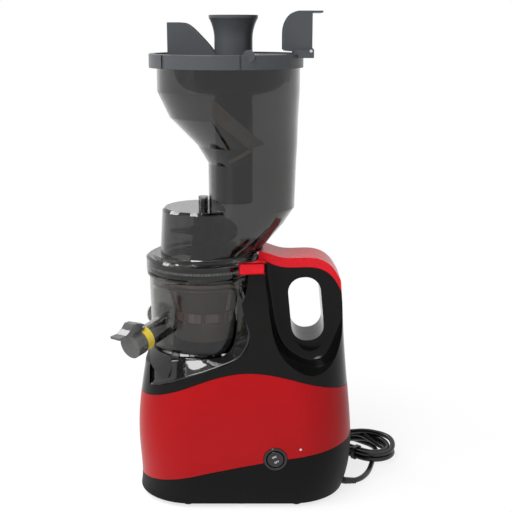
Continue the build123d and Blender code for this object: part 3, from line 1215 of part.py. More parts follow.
with BuildPart() as spout_cap:
    with BuildSketch(SPOUT_PLANE.offset(SPOUT_REACH + SEAM)):
        Circle(CAP_RADIUS)
    extrude(amount=CAP_LENGTH)
    with BuildSketch(SPOUT_PLANE.offset(SPOUT_REACH - 3)):
        Circle(SPOUT_BORE - 0.7)
    extrude(amount=4)
    with BuildSketch(CAP_SIDE_PLANE):
        with BuildLine():
            Polyline(
                (SPOUT_REACH - 5, CAP_HINGE - 1.9), (SPOUT_REACH + 1, CAP_HINGE - 1.9),
                (SPOUT_REACH + 1, 0),
                (SPOUT_REACH + CAP_LENGTH, 0), (SPOUT_REACH + CAP_LENGTH, CAP_HINGE - 1),
                (SPOUT_REACH + 22, CAP_HINGE + 1.4 - LEVER_THICK),
                (SPOUT_REACH + 31, CAP_HINGE + 2.5 - LEVER_THICK),
                (SPOUT_REACH + 31, CAP_HINGE + 2.5), (SPOUT_REACH + 22, CAP_HINGE + 1.4),
                (SPOUT_REACH + 15, CAP_HINGE + 4), (SPOUT_REACH + 9, CAP_HINGE + 8),
                (SPOUT_REACH + 3, CAP_HINGE + 7), (SPOUT_REACH - 5, CAP_HINGE + 2.5), close=True,
            )
        make_face()
    extrude(amount=LEVER_WIDTH / 2, both=True)
    # slot for the lug of the spout, and the pin's hole
    with BuildSketch(CAP_SIDE_PLANE):
        with Locations((SPOUT_REACH - 3.5, CAP_HINGE)):
            Rectangle(8.6, 14)
    extrude(amount=2.5 + SEAM, both=True, mode=Mode.SUBTRACT)
    with BuildSketch(CAP_SIDE_PLANE):
        with Locations((SPOUT_REACH - 3.5, CAP_HINGE)):
            Circle(CAP_PIN + FIXED)
    extrude(amount=LEVER_WIDTH, both=True, mode=Mode.SUBTRACT)
save(spout_cap.part, "spout_cap")

with BuildPart() as spout_cap_pin:
    with BuildSketch(CAP_SIDE_PLANE):
        with Locations((SPOUT_REACH - 3.5, CAP_HINGE)):
            Circle(CAP_PIN)
    extrude(amount=LEVER_WIDTH / 2, both=True)
save(spout_cap_pin.part, "spout_cap_pin")

with BuildPart() as pulp_plug:
    with BuildSketch(PULP_PLANE.offset(PULP_REACH - 8)):
        Circle(PULP_BORE - FIXED)
    extrude(amount=8)
    with BuildSketch(PULP_PLANE.offset(PULP_REACH)):
        Circle(PULP_RADIUS - 1)
    extrude(amount=3)
    with BuildSketch(PULP_PLANE.offset(PULP_REACH + 3)):
        Rectangle(16, 3)
    extrude(amount=5)
save(pulp_plug.part, "pulp_plug")

# ---------------------------------------------------------------- hopper
def hopper_form(inset):
    """The bowl-shaped mouth, the chute and the throat, or their inside."""
    with BuildPart() as form:
        with BuildSketch(Plane.XY.offset(HOPPER_SECTIONS[0][0])):
            with Locations((MOUTH_X, 0)):
                Circle(MOUTH_RADIUS - inset)
        extrude(amount=MOUTH_TOP - HOPPER_SECTIONS[0][0] + (1 if inset else 0))
        for lower, upper in zip(HOPPER_SECTIONS[1:], HOPPER_SECTIONS):
            for z, x, radius in (lower, upper):
                with BuildSketch(Plane.XY.offset(z)):
                    with Locations((x, 0)):
                        Circle(radius - inset)
            loft()
        for lower, upper in zip(THROAT_SECTIONS[1:], THROAT_SECTIONS):
            for z, x, radius in (lower, upper):
                with BuildSketch(Plane.XY.offset(z)):
                    with Locations((x, 0)):
                        Circle(radius - inset)
            loft()
    return form.part


with BuildPart() as hopper:
    add(hopper_form(0))
    with BuildSketch(Plane.XZ):
        with BuildLine():
            Polyline(
                (0, COLLAR_BOTTOM), (COLLAR_RADIUS, COLLAR_BOTTOM), (COLLAR_RADIUS, COLLAR_TOP - 2),
                (COLLAR_RADIUS - 3, COLLAR_TOP), (COLLAR_RADIUS - 7, COLLAR_TOP),
                (COLLAR_RADIUS - 8, COLLAR_TOP + 2.5), (DOME_FOOT, COLLAR_TOP + 2.5),
                (DOME_TOP_RADIUS, DOME_TOP - 3), (DOME_TOP_RADIUS - 3, DOME_TOP), (0, DOME_TOP),
                close=True,
            )
        make_face()
    revolve(axis=Axis.Z)
    rod(ORIGIN, DOME_TOP - 2, BOSS_TOP, BOSS_RADIUS)
    # the inside
    add(hopper_form(HOPPER_WALL), mode=Mode.SUBTRACT)
    with BuildSketch(Plane.XZ):
        with BuildLine():
            Polyline(
                (0, COLLAR_BOTTOM - 1), (BOWL_RADIUS + LOOSE, COLLAR_BOTTOM - 1),
                (BOWL_RADIUS + LOOSE, BOWL_TOP + SEAM), (DOME_FOOT - HOPPER_WALL, BOWL_TOP + SEAM),
                (DOME_TOP_RADIUS - HOPPER_WALL, DOME_TOP - HOPPER_WALL), (0, DOME_TOP - HOPPER_WALL),
                close=True,
            )
        make_face()
    revolve(axis=Axis.Z, mode=Mode.SUBTRACT)
    # bearing boss of the auger's top pin, put back after the inside was cut
    rod(ORIGIN, AUGER_TOP + SEAM, BOSS_TOP, BOSS_RADIUS)
    rod(ORIGIN, AUGER_TOP, BOSS_TOP - 2, AUGER_PIN + RUN, Mode.SUBTRACT)
save(hopper.part, "hopper")

with BuildPart() as hopper_seal:
    with BuildSketch(Plane.XY.offset(COLLAR_BOTTOM + 4)):
        Circle(BOWL_RADIUS + LOOSE)
        Circle(BOWL_RADIUS + RUN, mode=Mode.SUBTRACT)
    extrude(amount=2.5)
save(hopper_seal.part, "hopper_seal")

# ---------------------------------------------------------------- cover
COVER_TOP = RING_TOP - 2.0            # top of the cover's plate inside its raised ring


def ring_front(x):
    """How far the panel's face stands in front of the XZ plane, at a place along X."""
    return math.sqrt((RING_RADIUS + PANEL_PROUD) ** 2 - (x - RING_X) ** 2)


with BuildPart() as hopper_cover:
    with BuildSketch(Plane.XY.offset(RING_BOTTOM)):
        with Locations((RING_X, 0)):
            Circle(RING_RADIUS)
    extrude(amount=RING_TOP - RING_BOTTOM)
    # thicker latch at the left end, and the raised panel at the front right
    with BuildSketch(Plane.XY.offset(RING_BOTTOM)):
        with Locations((RING_X, 0)):
            Circle(RING_RADIUS + PANEL_PROUD)
        with Locations((LATCH_END - RING_RADIUS, 0)):
            Rectangle(2 * RING_RADIUS, 3 * RING_RADIUS, mode=Mode.INTERSECT)
    extrude(amount=RING_TOP - RING_BOTTOM)
    with BuildSketch(Plane.XY.offset(RING_BOTTOM)):
        with Locations((RING_X, 0)):
            Circle(RING_RADIUS + PANEL_PROUD)
        with Locations(((PANEL_LEFT + PANEL_RIGHT) / 2, -RING_RADIUS)):
            Rectangle(PANEL_RIGHT - PANEL_LEFT, 2 * RING_RADIUS, mode=Mode.INTERSECT)
    extrude(amount=RING_TOP - RING_BOTTOM)
    fillet(hopper_cover.edges().group_by(Axis.Z)[-1], 1.0)
    with BuildSketch(Plane.XY.offset(COVER_TOP)):
        with Locations((RING_X, 0)):
            Circle(RING_RADIUS - 4)
    extrude(amount=10, mode=Mode.SUBTRACT)
    with BuildSketch(Plane.XY.offset(RING_BOTTOM - 1)):
        with Locations((MOUTH_X, 0)):
            Circle(MOUTH_RADIUS + LOOSE)
    extrude(amount=COVER_TOP - COVER_PLATE - RING_BOTTOM + 1, mode=Mode.SUBTRACT)
    # rounded lug on the panel's left end, with a narrow slot beside it
    with BuildSketch(SIDE.offset(ring_front(LUG_X) - LUG_THICK)):
        with Locations((LUG_X, RING_TOP - 1)):
            Circle(LUG_RADIUS)
    extrude(amount=LUG_THICK)
    with Locations((PANEL_LEFT - SLOT_WIDTH / 2, -ring_front(PANEL_LEFT) - 1, (RING_TOP + RING_BOTTOM) / 2)):
        Box(SLOT_WIDTH, 2 * (1 + SLOT_DEPTH), 2 * (RING_TOP - RING_BOTTOM), mode=Mode.SUBTRACT)
    # tube round the pusher, and the dish that hangs into the mouth round it
    with BuildSketch(Plane.XY.offset(COVER_TOP - COVER_PLATE)):
        with Locations((PUSHER_X, 0)):
            Circle(PUSHER_RADIUS + LOOSE + GUIDE_WALL)
    extrude(amount=-GUIDE_LENGTH)
    with BuildSketch(SIDE):
        with BuildLine():
            rim = COVER_TOP - COVER_PLATE
            last = len(DISH) - 1
            under = Spline(*[(PUSHER_X + x, rim + z) for x, z in DISH])
            over = Spline(*[(PUSHER_X + x - DISH_WALL, rim + z + DISH_WALL * number / last)
                            for number, (x, z) in enumerate(DISH)])
            Line(under @ 0, over @ 0)
            Line(under @ 1, over @ 1)
        make_face()
    revolve(axis=Axis((PUSHER_X, 0, 0), (0, 0, 1)))
    with BuildSketch(Plane.XY.offset(COVER_TOP - COVER_PLATE)):
        with Locations(((MOUTH_LEFT + MOUTH_RIGHT) / 2, 0)):
            Rectangle(MOUTH_RIGHT - MOUTH_LEFT + 2 * GUIDE_WALL, 2 * (MOUTH_DEPTH + GUIDE_WALL))
    extrude(amount=-MOUTH_SKIRT)
    # rear and front cheeks of the guard on the left, and the wall between them
    with BuildSketch(SIDE):
        with BuildLine():
            Polyline((FIN_RIGHT, COVER_TOP - 1), (FIN_LEFT, COVER_TOP - 1),
                     (FIN_LEFT, FIN_TOP), (FIN_FLAT, FIN_TOP))
            Spline((FIN_FLAT, FIN_TOP), *FIN_SLOPE, (FIN_RIGHT, COVER_TOP - 1), tangents=((1, 0), (1, -0.9)))
        make_face()
    extrude(amount=FIN_DEPTH / 2, both=True)
    with BuildSketch(SIDE):
        with Locations(((FIN_LEFT + FIN_WALL + 30), COVER_TOP + 30)):
            Rectangle(60, 60)
    extrude(amount=FIN_DEPTH / 2 - FIN_WALL, both=True, mode=Mode.SUBTRACT)
    # hole of the pusher and the feed mouth
    with BuildSketch(Plane.XY.offset(400)):
        with Locations((PUSHER_X, 0)):
            Circle(PUSHER_RADIUS + LOOSE)
        with Locations(((MOUTH_LEFT + MOUTH_RIGHT) / 2, 0)):
            Rectangle(MOUTH_RIGHT - MOUTH_LEFT, 2 * MOUTH_DEPTH)
    extrude(amount=200, mode=Mode.SUBTRACT)
    # hinge ears of the folding tray on the ring's right end
    for side in (1, -1):
        with Locations((TRAY_X - 7, side * (TRAY_DEPTH + SEAM + TRAY_EAR / 2), TRAY_Z - 3)):
            Box(20, TRAY_EAR, 8)
    with BuildSketch(SIDE):
        with Locations((TRAY_X, TRAY_Z)):
            Circle(TRAY_PIN + FIXED)
    extrude(amount=2 * TRAY_DEPTH, both=True, mode=Mode.SUBTRACT)
save(hopper_cover.part, "hopper_cover")

with BuildPart() as tray_pin:
    with BuildSketch(SIDE):
        with Locations((TRAY_X, TRAY_Z)):
            Circle(TRAY_PIN)
    extrude(amount=TRAY_DEPTH + SEAM + TRAY_EAR, both=True)
save(tray_pin.part, "tray_pin")

# the loading tray stands folded up: its floor is upright, with two cheeks and a finger lip
TRAY_FACE = TRAY_X + 1.4
with BuildPart() as feed_tray:
    with BuildSketch(SIDE):
        with BuildLine():
            Polyline((TRAY_LEFT, TRAY_Z + 16), (TRAY_LEFT, TRAY_Z + 0.4), (TRAY_FACE, TRAY_Z - 2.6),
                     (TRAY_FACE, TRAY_TOP), (TRAY_LEFT + 16, TRAY_TOP))
            Spline((TRAY_LEFT + 16, TRAY_TOP), (TRAY_LEFT + 4, TRAY_TOP - 8), (TRAY_LEFT, TRAY_Z + 16),
                   tangents=((-1, -0.1), (0, -1)))
        make_face()
    extrude(amount=TRAY_DEPTH, both=True)
    with BuildSketch(SIDE):
        with Locations((TRAY_FACE - TRAY_WALL - 30, TRAY_TOP - 40)):
            Rectangle(60, 100)
    extrude(amount=TRAY_DEPTH - TRAY_WALL, both=True, mode=Mode.SUBTRACT)
    with BuildSketch(Plane.XY.offset(TRAY_TOP)):
        with Locations((TRAY_FACE - TRAY_WALL + TRAY_LIP / 2, 0)):
            Rectangle(TRAY_LIP + TRAY_WALL, 2 * TRAY_DEPTH - 6)
    extrude(amount=-2)
    with BuildSketch(SIDE):
        with Locations((TRAY_X, TRAY_Z)):
            Circle(TRAY_PIN + 1.8)
    extrude(amount=TRAY_DEPTH, both=True)
    with BuildSketch(SIDE):
        with Locations((TRAY_X, TRAY_Z)):
            Circle(TRAY_PIN + RUN)
    extrude(amount=TRAY_DEPTH + 1, both=True, mode=Mode.SUBTRACT)
save(feed_tray.part, "feed_tray")

with BuildPart() as pusher:
    with BuildSketch(Plane.XZ):
        with BuildLine():
            Line((0, PUSHER_BOTTOM), (PUSHER_RADIUS, PUSHER_BOTTOM))
            Line((PUSHER_RADIUS, PUSHER_BOTTOM), (PUSHER_RADIUS, PUSHER_NECK))
            Spline((PUSHER_RADIUS, PUSHER_NECK), (PUSHER_RADIUS + 2, PUSHER_NECK + 13),
                   (PUSHER_RIM, PUSHER_TOP - 3), tangents=((0, 1), (0.6, 1)))
            Polyline((PUSHER_RIM, PUSHER_TOP - 3), (PUSHER_RIM, PUSHER_TOP),
                     (0, PUSHER_TOP), (0, PUSHER_BOTTOM))
        make_face()
    revolve(axis=Axis.Z)
    with BuildSketch(Plane.XY.offset(PUSHER_BOTTOM + 3)):
        Circle(PUSHER_RADIUS - PUSHER_WALL)
    extrude(amount=PUSHER_TOP - PUSHER_BOTTOM, mode=Mode.SUBTRACT)
save(pusher.part.translate((PUSHER_X, 0, 0)), "pusher")

# ---------------------------------------------------------------- electrical pieces
with BuildPart() as control_board:
    with BuildSketch(Plane.XY.offset(PLATE_TOP + 8)):
        with Locations(BOARD_SPOT):
            Rectangle(*BOARD_SIZE)
    extrude(amount=1.6)
    with BuildSketch(Plane.XY.offset(PLATE_TOP + 9.6)):      # relay, capacitor and choke
        with Locations((BOARD_SPOT[0] - 14, BOARD_SPOT[1] + 10)):
            Rectangle(15, 18)
        with Locations((BOARD_SPOT[0] + 12, BOARD_SPOT[1] + 14)):
            Circle(8)
        with Locations((BOARD_SPOT[0] + 8, BOARD_SPOT[1] - 16)):
            Rectangle(18, 12)
    extrude(amount=15)
    with BuildSketch(Plane.XY.offset(PLATE_TOP)):            # stand-off pillars
        with Locations(BOARD_SPOT):
            with GridLocations(BOARD_SIZE[0] - 8, BOARD_SIZE[1] - 8, 2, 2):
                Circle(2.5)
    extrude(amount=8)
save(control_board.part, "control_board")

with BuildPart() as cord_gland:
    with BuildSketch(GLAND_PLANE):
        Circle(GLAND_RADIUS)
        Circle(CORD_RADIUS, mode=Mode.SUBTRACT)
    extrude(amount=-GLAND_LENGTH)
save(cord_gland.part, "cord_gland")

# ---------------------------------------------------------------- power cord
def corner_radii(route):
    """As large an arc at each corner as its two straight runs allow."""
    places = [Vector(*point) for point in route]
    runs = [end - start for start, end in zip(places, places[1:])]
    radii = []
    for run, after in zip(runs, runs[1:]):
        turn = math.radians(run.get_angle(after))
        radii.append(0.45 * min(run.length, after.length) / math.tan(turn / 2))
    return radii


CORD_RADII = corner_radii(CORD_ROUTE)
print("cord radii", [round(radius, 1) for radius in CORD_RADII])
with BuildPart() as power_cord:
    with BuildLine() as route:
        FilletPolyline(*CORD_ROUTE, radius=CORD_RADII)
    with BuildSketch(Plane(origin=route.line @ 0, z_dir=route.line % 0)):
        Circle(CORD_RADIUS)
    sweep()
CORD_END = Plane(origin=route.line @ 1, z_dir=route.line % 1)
CORD_LENGTH = sum(edge.length for edge in route.edges())
STRAIGHT_VOLUME = math.pi * CORD_RADIUS**2 * CORD_LENGTH
print("cord volume over section times length", power_cord.part.volume / STRAIGHT_VOLUME)

COIL_PLANE = Plane(
    origin=(*COIL_CENTRE, 0.1),
    x_dir=polar(1, COIL_HEADING),
    z_dir=(0, 0, 1),
)
with BuildPart() as cord_coil:
    with BuildSketch(COIL_PLANE):
        Ellipse(COIL_LONG, COIL_SHORT)
    extrude(amount=COIL_HEIGHT)
    fillet(cord_coil.edges().group_by(Axis.Z)[-1], 4)
    # a shallow pocket whose flat floor the cord's end meets
    with BuildSketch(CORD_END):
        Circle(CORD_RADIUS + LOOSE)
    extrude(amount=-COIL_SHORT, mode=Mode.SUBTRACT)
save(power_cord.part, "power_cord")
save(cord_coil.part, "cord_coil")

# the plug lies behind the base, its tail against the far end of the coil
with BuildPart() as plug:
    with BuildSketch(COIL_PLANE.offset(PLUG_RADIUS)):
        with Locations((COIL_LONG + PLUG_LENGTH / 2 - 1, 0)):
            Rectangle(PLUG_LENGTH, 2 * PLUG_RADIUS)
    extrude(amount=PLUG_RADIUS - 1, both=True)
    with BuildSketch(COIL_PLANE.offset(PLUG_RADIUS)):
        with Locations((COIL_LONG + PLUG_LENGTH + 8, 6), (COIL_LONG + PLUG_LENGTH + 8, -6)):
            Rectangle(19, 4)
    extrude(amount=2, both=True)
    add(cord_coil.part, mode=Mode.SUBTRACT)
save(plug.part, "plug")
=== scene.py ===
# %% [markdown]
# # A cold press juicer
# The machine stands 52 cm tall on a pale table.  A motor base with a red lacquered band
# carries a clear juice bowl, a tall clear hopper and a dark cover with a pusher.
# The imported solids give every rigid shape; this script gives them their finishes, winds
# the mains cord, and adds the small mouldings that the solids leave plain.

import math

import bmesh
import bpy
from mathutils import Matrix, Vector


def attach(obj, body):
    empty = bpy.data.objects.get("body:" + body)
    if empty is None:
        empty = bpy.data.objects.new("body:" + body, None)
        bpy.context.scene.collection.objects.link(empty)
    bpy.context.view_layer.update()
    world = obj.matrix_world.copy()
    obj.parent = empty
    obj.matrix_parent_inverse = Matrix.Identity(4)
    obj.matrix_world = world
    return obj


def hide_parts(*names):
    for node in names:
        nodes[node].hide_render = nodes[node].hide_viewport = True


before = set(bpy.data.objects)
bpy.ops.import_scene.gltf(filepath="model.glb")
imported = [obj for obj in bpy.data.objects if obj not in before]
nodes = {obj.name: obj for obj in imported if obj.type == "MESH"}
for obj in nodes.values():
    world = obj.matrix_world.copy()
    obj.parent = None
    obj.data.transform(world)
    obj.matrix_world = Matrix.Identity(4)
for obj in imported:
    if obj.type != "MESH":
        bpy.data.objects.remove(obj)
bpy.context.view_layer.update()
MM = 0.001
print("solids loaded:", len(nodes))

# %% [markdown]
# ## Small helpers
# Two things happen all through the script.  A new object is linked into the scene, and a
# shader needs a bit of arithmetic, whose inputs are numbers or other nodes' outputs.
# Each gets a helper, so the later cells read as what they make.


# %% Small helpers
def link(name, data):
    """A new object at the origin, linked into the scene."""
    thing = bpy.data.objects.new(name, data)
    bpy.context.scene.collection.objects.link(thing)
    return thing


def math_node(tree, kind, first, second):
    """A math node between two numbers or outputs."""
    node = tree.nodes.new("ShaderNodeMath")
    node.operation = kind
    for number, value in enumerate((first, second)):
        if isinstance(value, (int, float)):
            node.inputs[number].default_value = value
        else:
            tree.links.new(value, node.inputs[number])
    return node.outputs[0]


print("helpers ready")

# %% [markdown]
# ## Camera
# A long lens a metre away and level with the cover looks slightly down, so the table
# shows little and the bowl's rims read as thin ellipses.  The lens follows from how many
# picture widths the focal length is.

# %% Camera
SENSOR = 36.0
IMAGE = 512
FOCAL_PIXELS = 961
EYE = Vector((57, -1030, 506)) * MM
PITCH = 13.33                      # degrees below level

camera_data = bpy.data.cameras.new("camera")
camera_data.sensor_width = SENSOR
camera_data.lens = FOCAL_PIXELS / IMAGE * SENSOR
camera = link("camera", camera_data)
camera.location = EYE
camera.rotation_euler = (math.radians(90 - PITCH), 0, 0)
bpy.context.scene.camera = camera
bpy.context.scene.view_settings.view_transform = "Standard"
print("lens", round(camera_data.lens, 2), "mm")

# %% [markdown]
# ## World
# A pale world fills the shadows.  The camera sees plain white behind the machine, and
# gloss and clear plastic see it too, so Light Path tells those rays from the ones that
# light the object.

# %% World
WORLD_FILL = 0.2

world = bpy.data.worlds.new("studio")
bpy.context.scene.world = world
world.use_nodes = True
sky = world.node_tree
sky.nodes.clear()


def backdrop(strength):
    """Plain white light of a strength."""
    node = sky.nodes.new("ShaderNodeBackground")
    node.inputs["Color"].default_value = (1, 1, 1, 1)
    node.inputs["Strength"].default_value = strength
    return node.outputs[0]


ray = sky.nodes.new("ShaderNodeLightPath").outputs
looked_at = math_node(sky, "MAXIMUM", ray["Is Camera Ray"], ray["Is Transmission Ray"])
seen = math_node(sky, "MAXIMUM", looked_at, ray["Is Glossy Ray"])
choose = sky.nodes.new("ShaderNodeMixShader")
sky_end = sky.nodes.new("ShaderNodeOutputWorld")
sky.links.new(seen, choose.inputs["Fac"])
sky.links.new(backdrop(WORLD_FILL), choose.inputs[1])
sky.links.new(backdrop(1.0), choose.inputs[2])
sky.links.new(choose.outputs[0], sky_end.inputs["Surface"])
print("world fill", WORLD_FILL)

# %% [markdown]
# ## Soft boxes
# Small appliances are lit with soft boxes.  A large one in front gives the plain light.
# One above is mirrored in the gloss seat under the bowl, and one high on the left and a
# little behind is mirrored in the hand hollow.  The others only lift the edges, and gloss
# and clear plastic don't mirror them, so the walls stay free of streaks.


# %% Soft boxes
def soft_box(name, place, target, width, height, watts, mirrored=False):
    """A rectangular area lamp that faces a point."""
    lamp = bpy.data.lights.new(name, "AREA")
    lamp.shape = "RECTANGLE"
    lamp.size, lamp.size_y = width, height
    lamp.energy = watts
    holder = link(name, lamp)
    holder.location = place
    aim = Vector(target) - Vector(place)
    holder.rotation_euler = aim.to_track_quat("-Z", "Y").to_euler()
    holder.visible_glossy = mirrored
    print(name, watts, "W")


soft_box("front_box", (-0.5, -1.25, 1.15), (0.0, 0, 0.25), 0.8, 0.6, 19)
soft_box("key_box", (-0.42, -0.44, 1.5), (0, -0.06, 0.16), 0.55, 0.55, 14, mirrored=True)
soft_box("hollow_box", (-1.0, 0.55, 1.35), (0.13, -0.03, 0.155), 0.5, 0.5, 7, mirrored=True)
soft_box("left_box", (-1.1, -0.6, 0.5), (0, 0, 0.25), 0.4, 1.2, 2)
soft_box("right_box", (1.2, -0.5, 0.5), (0.05, 0, 0.25), 0.4, 1.2, 0.5)
soft_box("back_box", (0.1, 1.1, 0.9), (0.05, 0, 0.3), 1.0, 0.8, 3)

# %% [markdown]
# ## Table
# A pale sheet under the machine catches a soft shadow.  Away from the machine it glows
# as white as the background, so no horizon shows: the shader changes from paper to glow
# with the distance from the machine's foot.  Diffuse rays meet plain paper everywhere, so
# the glow doesn't light the machine from below.

# %% Table sheet
TABLE_REACH = 4.0                  # half its width, metres

sheet = bmesh.new()
bmesh.ops.create_grid(sheet, x_segments=1, y_segments=1, size=TABLE_REACH)
table_mesh = bpy.data.meshes.new("table")
sheet.to_mesh(table_mesh)
sheet.free()
link("table", table_mesh)
print("table", 2 * TABLE_REACH, "m across")

# %% Table white
PAPER = 0.95
GLOW_FROM, GLOW_FULL = 0.08, 0.42  # metres from the foot where the glow grows, and is full
GLOW_NEAR = 0.72                   # its share closer than that

table_look = bpy.data.materials.new("table_white")
table_look.use_nodes = True
look = table_look.node_tree
look.nodes.clear()
paper = look.nodes.new("ShaderNodeBsdfDiffuse")
paper.inputs["Color"].default_value = (PAPER, PAPER, PAPER, 1)
glow = look.nodes.new("ShaderNodeEmission")
from_foot = look.nodes.new("ShaderNodeVectorMath")
from_foot.operation = "LENGTH"
look.links.new(look.nodes.new("ShaderNodeTexCoord").outputs["Object"], from_foot.inputs[0])
fade = look.nodes.new("ShaderNodeMapRange")
fade.inputs["From Min"].default_value = GLOW_FROM
fade.inputs["From Max"].default_value = GLOW_FULL
fade.inputs["To Min"].default_value = GLOW_NEAR
look.links.new(from_foot.outputs["Value"], fade.inputs["Value"])
lighting_ray = look.nodes.new("ShaderNodeLightPath").outputs["Is Diffuse Ray"]
other_ray = math_node(look, "SUBTRACT", 1.0, lighting_ray)
blend = look.nodes.new("ShaderNodeMixShader")
table_end = look.nodes.new("ShaderNodeOutputMaterial")
look.links.new(math_node(look, "MULTIPLY", other_ray, fade.outputs["Result"]), blend.inputs["Fac"])
look.links.new(paper.outputs[0], blend.inputs[1])
look.links.new(glow.outputs[0], blend.inputs[2])
look.links.new(blend.outputs[0], table_end.inputs["Surface"])
table_mesh.materials.append(table_look)
print("glow from", GLOW_FROM, "to", GLOW_FULL, "m")

# %% [markdown]
# ## Shared surface effects
# Moulded plastic is never perfectly even: hands and cloths leave faint marks that change
# how glossy it is, and a textured mould leaves a fine grain.  Each effect is a node group
# that gives a value or a height, so one group serves many finishes.


# %% Effect helpers
def new_group(name, inputs, output):
    """An empty node group with number inputs and one number output."""
    group = bpy.data.node_groups.new(name, "ShaderNodeTree")
    for label, value in inputs:
        socket = group.interface.new_socket(label, in_out="INPUT", socket_type="NodeSocketFloat")
        socket.default_value = value
    group.interface.new_socket(output, in_out="OUTPUT", socket_type="NodeSocketFloat")
    given = group.nodes.new("NodeGroupInput").outputs
    result = group.nodes.new("NodeGroupOutput").inputs[output]
    return group, given, result, group.nodes.new("ShaderNodeTexCoord").outputs["Object"]


def noise(tree, place, scale, detail, rough=0.5):
    """Soft cloudy noise between 0 and 1."""
    node = tree.nodes.new("ShaderNodeTexNoise")
    node.inputs["Scale"].default_value = scale
    node.inputs["Detail"].default_value = detail
    node.inputs["Roughness"].default_value = rough
    tree.links.new(place, node.inputs["Vector"])
    return node.outputs["Fac"]


print("effect helpers ready")

# %% Handling marks
BROAD_SCALE, SMEAR_SCALE = 18, 140
MEAN_OF_BOTH = 0.25                # two noises near a half, multiplied

marks, given, marks_end, place = new_group(
    "handling_marks", (("Roughness", 0.2), ("Amount", 0.1)), "Roughness")
broad = noise(marks, place, BROAD_SCALE, 3)
smear = noise(marks, place, SMEAR_SCALE, 5, 0.7)
centred = math_node(marks, "SUBTRACT", math_node(marks, "MULTIPLY", broad, smear), MEAN_OF_BOTH)
scaled = math_node(marks, "MULTIPLY", centred, given["Amount"])
marks.links.new(math_node(marks, "ADD", scaled, given["Roughness"]), marks_end)
print("group", marks.name)

# %% Mould grain
PEBBLE_SCALE, FINE_SCALE = 900, 1600

grain, given, grain_end, place = new_group("mould_grain", (("Pitch", 1.0), ("Depth", 1.0)), "Height")
stretch = grain.nodes.new("ShaderNodeVectorMath")
stretch.operation = "SCALE"
grain.links.new(place, stretch.inputs[0])
grain.links.new(given["Pitch"], stretch.inputs["Scale"])
pebbles = grain.nodes.new("ShaderNodeTexVoronoi")
pebbles.inputs["Scale"].default_value = PEBBLE_SCALE
grain.links.new(stretch.outputs[0], pebbles.inputs["Vector"])
fine = noise(grain, stretch.outputs[0], FINE_SCALE, 2)
ridges = math_node(grain, "ADD", pebbles.outputs["Distance"], fine)
grain.links.new(math_node(grain, "MULTIPLY", ridges, given["Depth"]), grain_end)
print("group", grain.name)

# %% [markdown]
# ## Finishes
# Every finish is a Principled shader in its own material, with its own colours on the
# shader's sockets and the shared groups for marks and grain.  One function builds them,
# so two finishes differ only in the numbers that they are given.

# %% Finish
COAT_ROUGHNESS = 0.06
CLOUD_SCALE = 25                   # of the slight colour change
GRAIN_HEIGHT, GRAIN_STRENGTH = 0.0002, 0.5


def finish(name, colour, roughness, marks_amount=0.12, metallic=0.0, coat=0.0, grain_depth=0.0,
           grain_pitch=1.0, transmission=0.0, ior=1.5, variation=0.06, specular=0.5):
    """A material with slight colour change, handling marks and mould grain."""
    material = bpy.data.materials.new(name)
    material.use_nodes = True
    tree = material.node_tree
    shader = tree.nodes["Principled BSDF"]
    shader.inputs["Metallic"].default_value = metallic
    shader.inputs["IOR"].default_value = ior
    shader.inputs["Specular IOR Level"].default_value = specular
    shader.inputs["Coat Weight"].default_value = coat
    shader.inputs["Coat Roughness"].default_value = COAT_ROUGHNESS
    shader.inputs["Transmission Weight"].default_value = transmission

    place = tree.nodes.new("ShaderNodeTexCoord").outputs["Object"]
    ramp = tree.nodes.new("ShaderNodeMix")
    ramp.data_type = "RGBA"
    darker = [channel * (1 - variation) for channel in colour]
    lighter = [min(1, channel * (1 + variation)) for channel in colour]
    ramp.inputs["A"].default_value = (*darker, 1)
    ramp.inputs["B"].default_value = (*lighter, 1)
    tree.links.new(noise(tree, place, CLOUD_SCALE, 3), ramp.inputs["Factor"])
    tree.links.new(ramp.outputs["Result"], shader.inputs["Base Color"])

    wear = tree.nodes.new("ShaderNodeGroup")
    wear.node_tree = marks
    wear.inputs["Roughness"].default_value = roughness
    wear.inputs["Amount"].default_value = marks_amount
    tree.links.new(wear.outputs["Roughness"], shader.inputs["Roughness"])

    if grain_depth:
        texture = tree.nodes.new("ShaderNodeGroup")
        texture.node_tree = grain
        texture.inputs["Pitch"].default_value = grain_pitch
        texture.inputs["Depth"].default_value = grain_depth
        bump = tree.nodes.new("ShaderNodeBump")
        bump.inputs["Distance"].default_value = GRAIN_HEIGHT
        bump.inputs["Strength"].default_value = GRAIN_STRENGTH
        tree.links.new(texture.outputs["Height"], bump.inputs["Height"])
        tree.links.new(bump.outputs["Normal"], shader.inputs["Normal"])
    return material


def dress(material, *names):
    """Give solids of the frame a finish."""
    for name in names:
        slots = nodes[name].data.materials
        if slots:
            slots[0] = material
        else:
            slots.append(material)
    print(material.name, "on", len(names), "solids")


# %% [markdown]
# ## Motor base
# The band is lacquer with a little metal in it under a thin clear coat; the tub is matte
# textured black; the housing and the seat are gloss black, which mirrors so little when it
# is clean that a low specular level gives its depth.

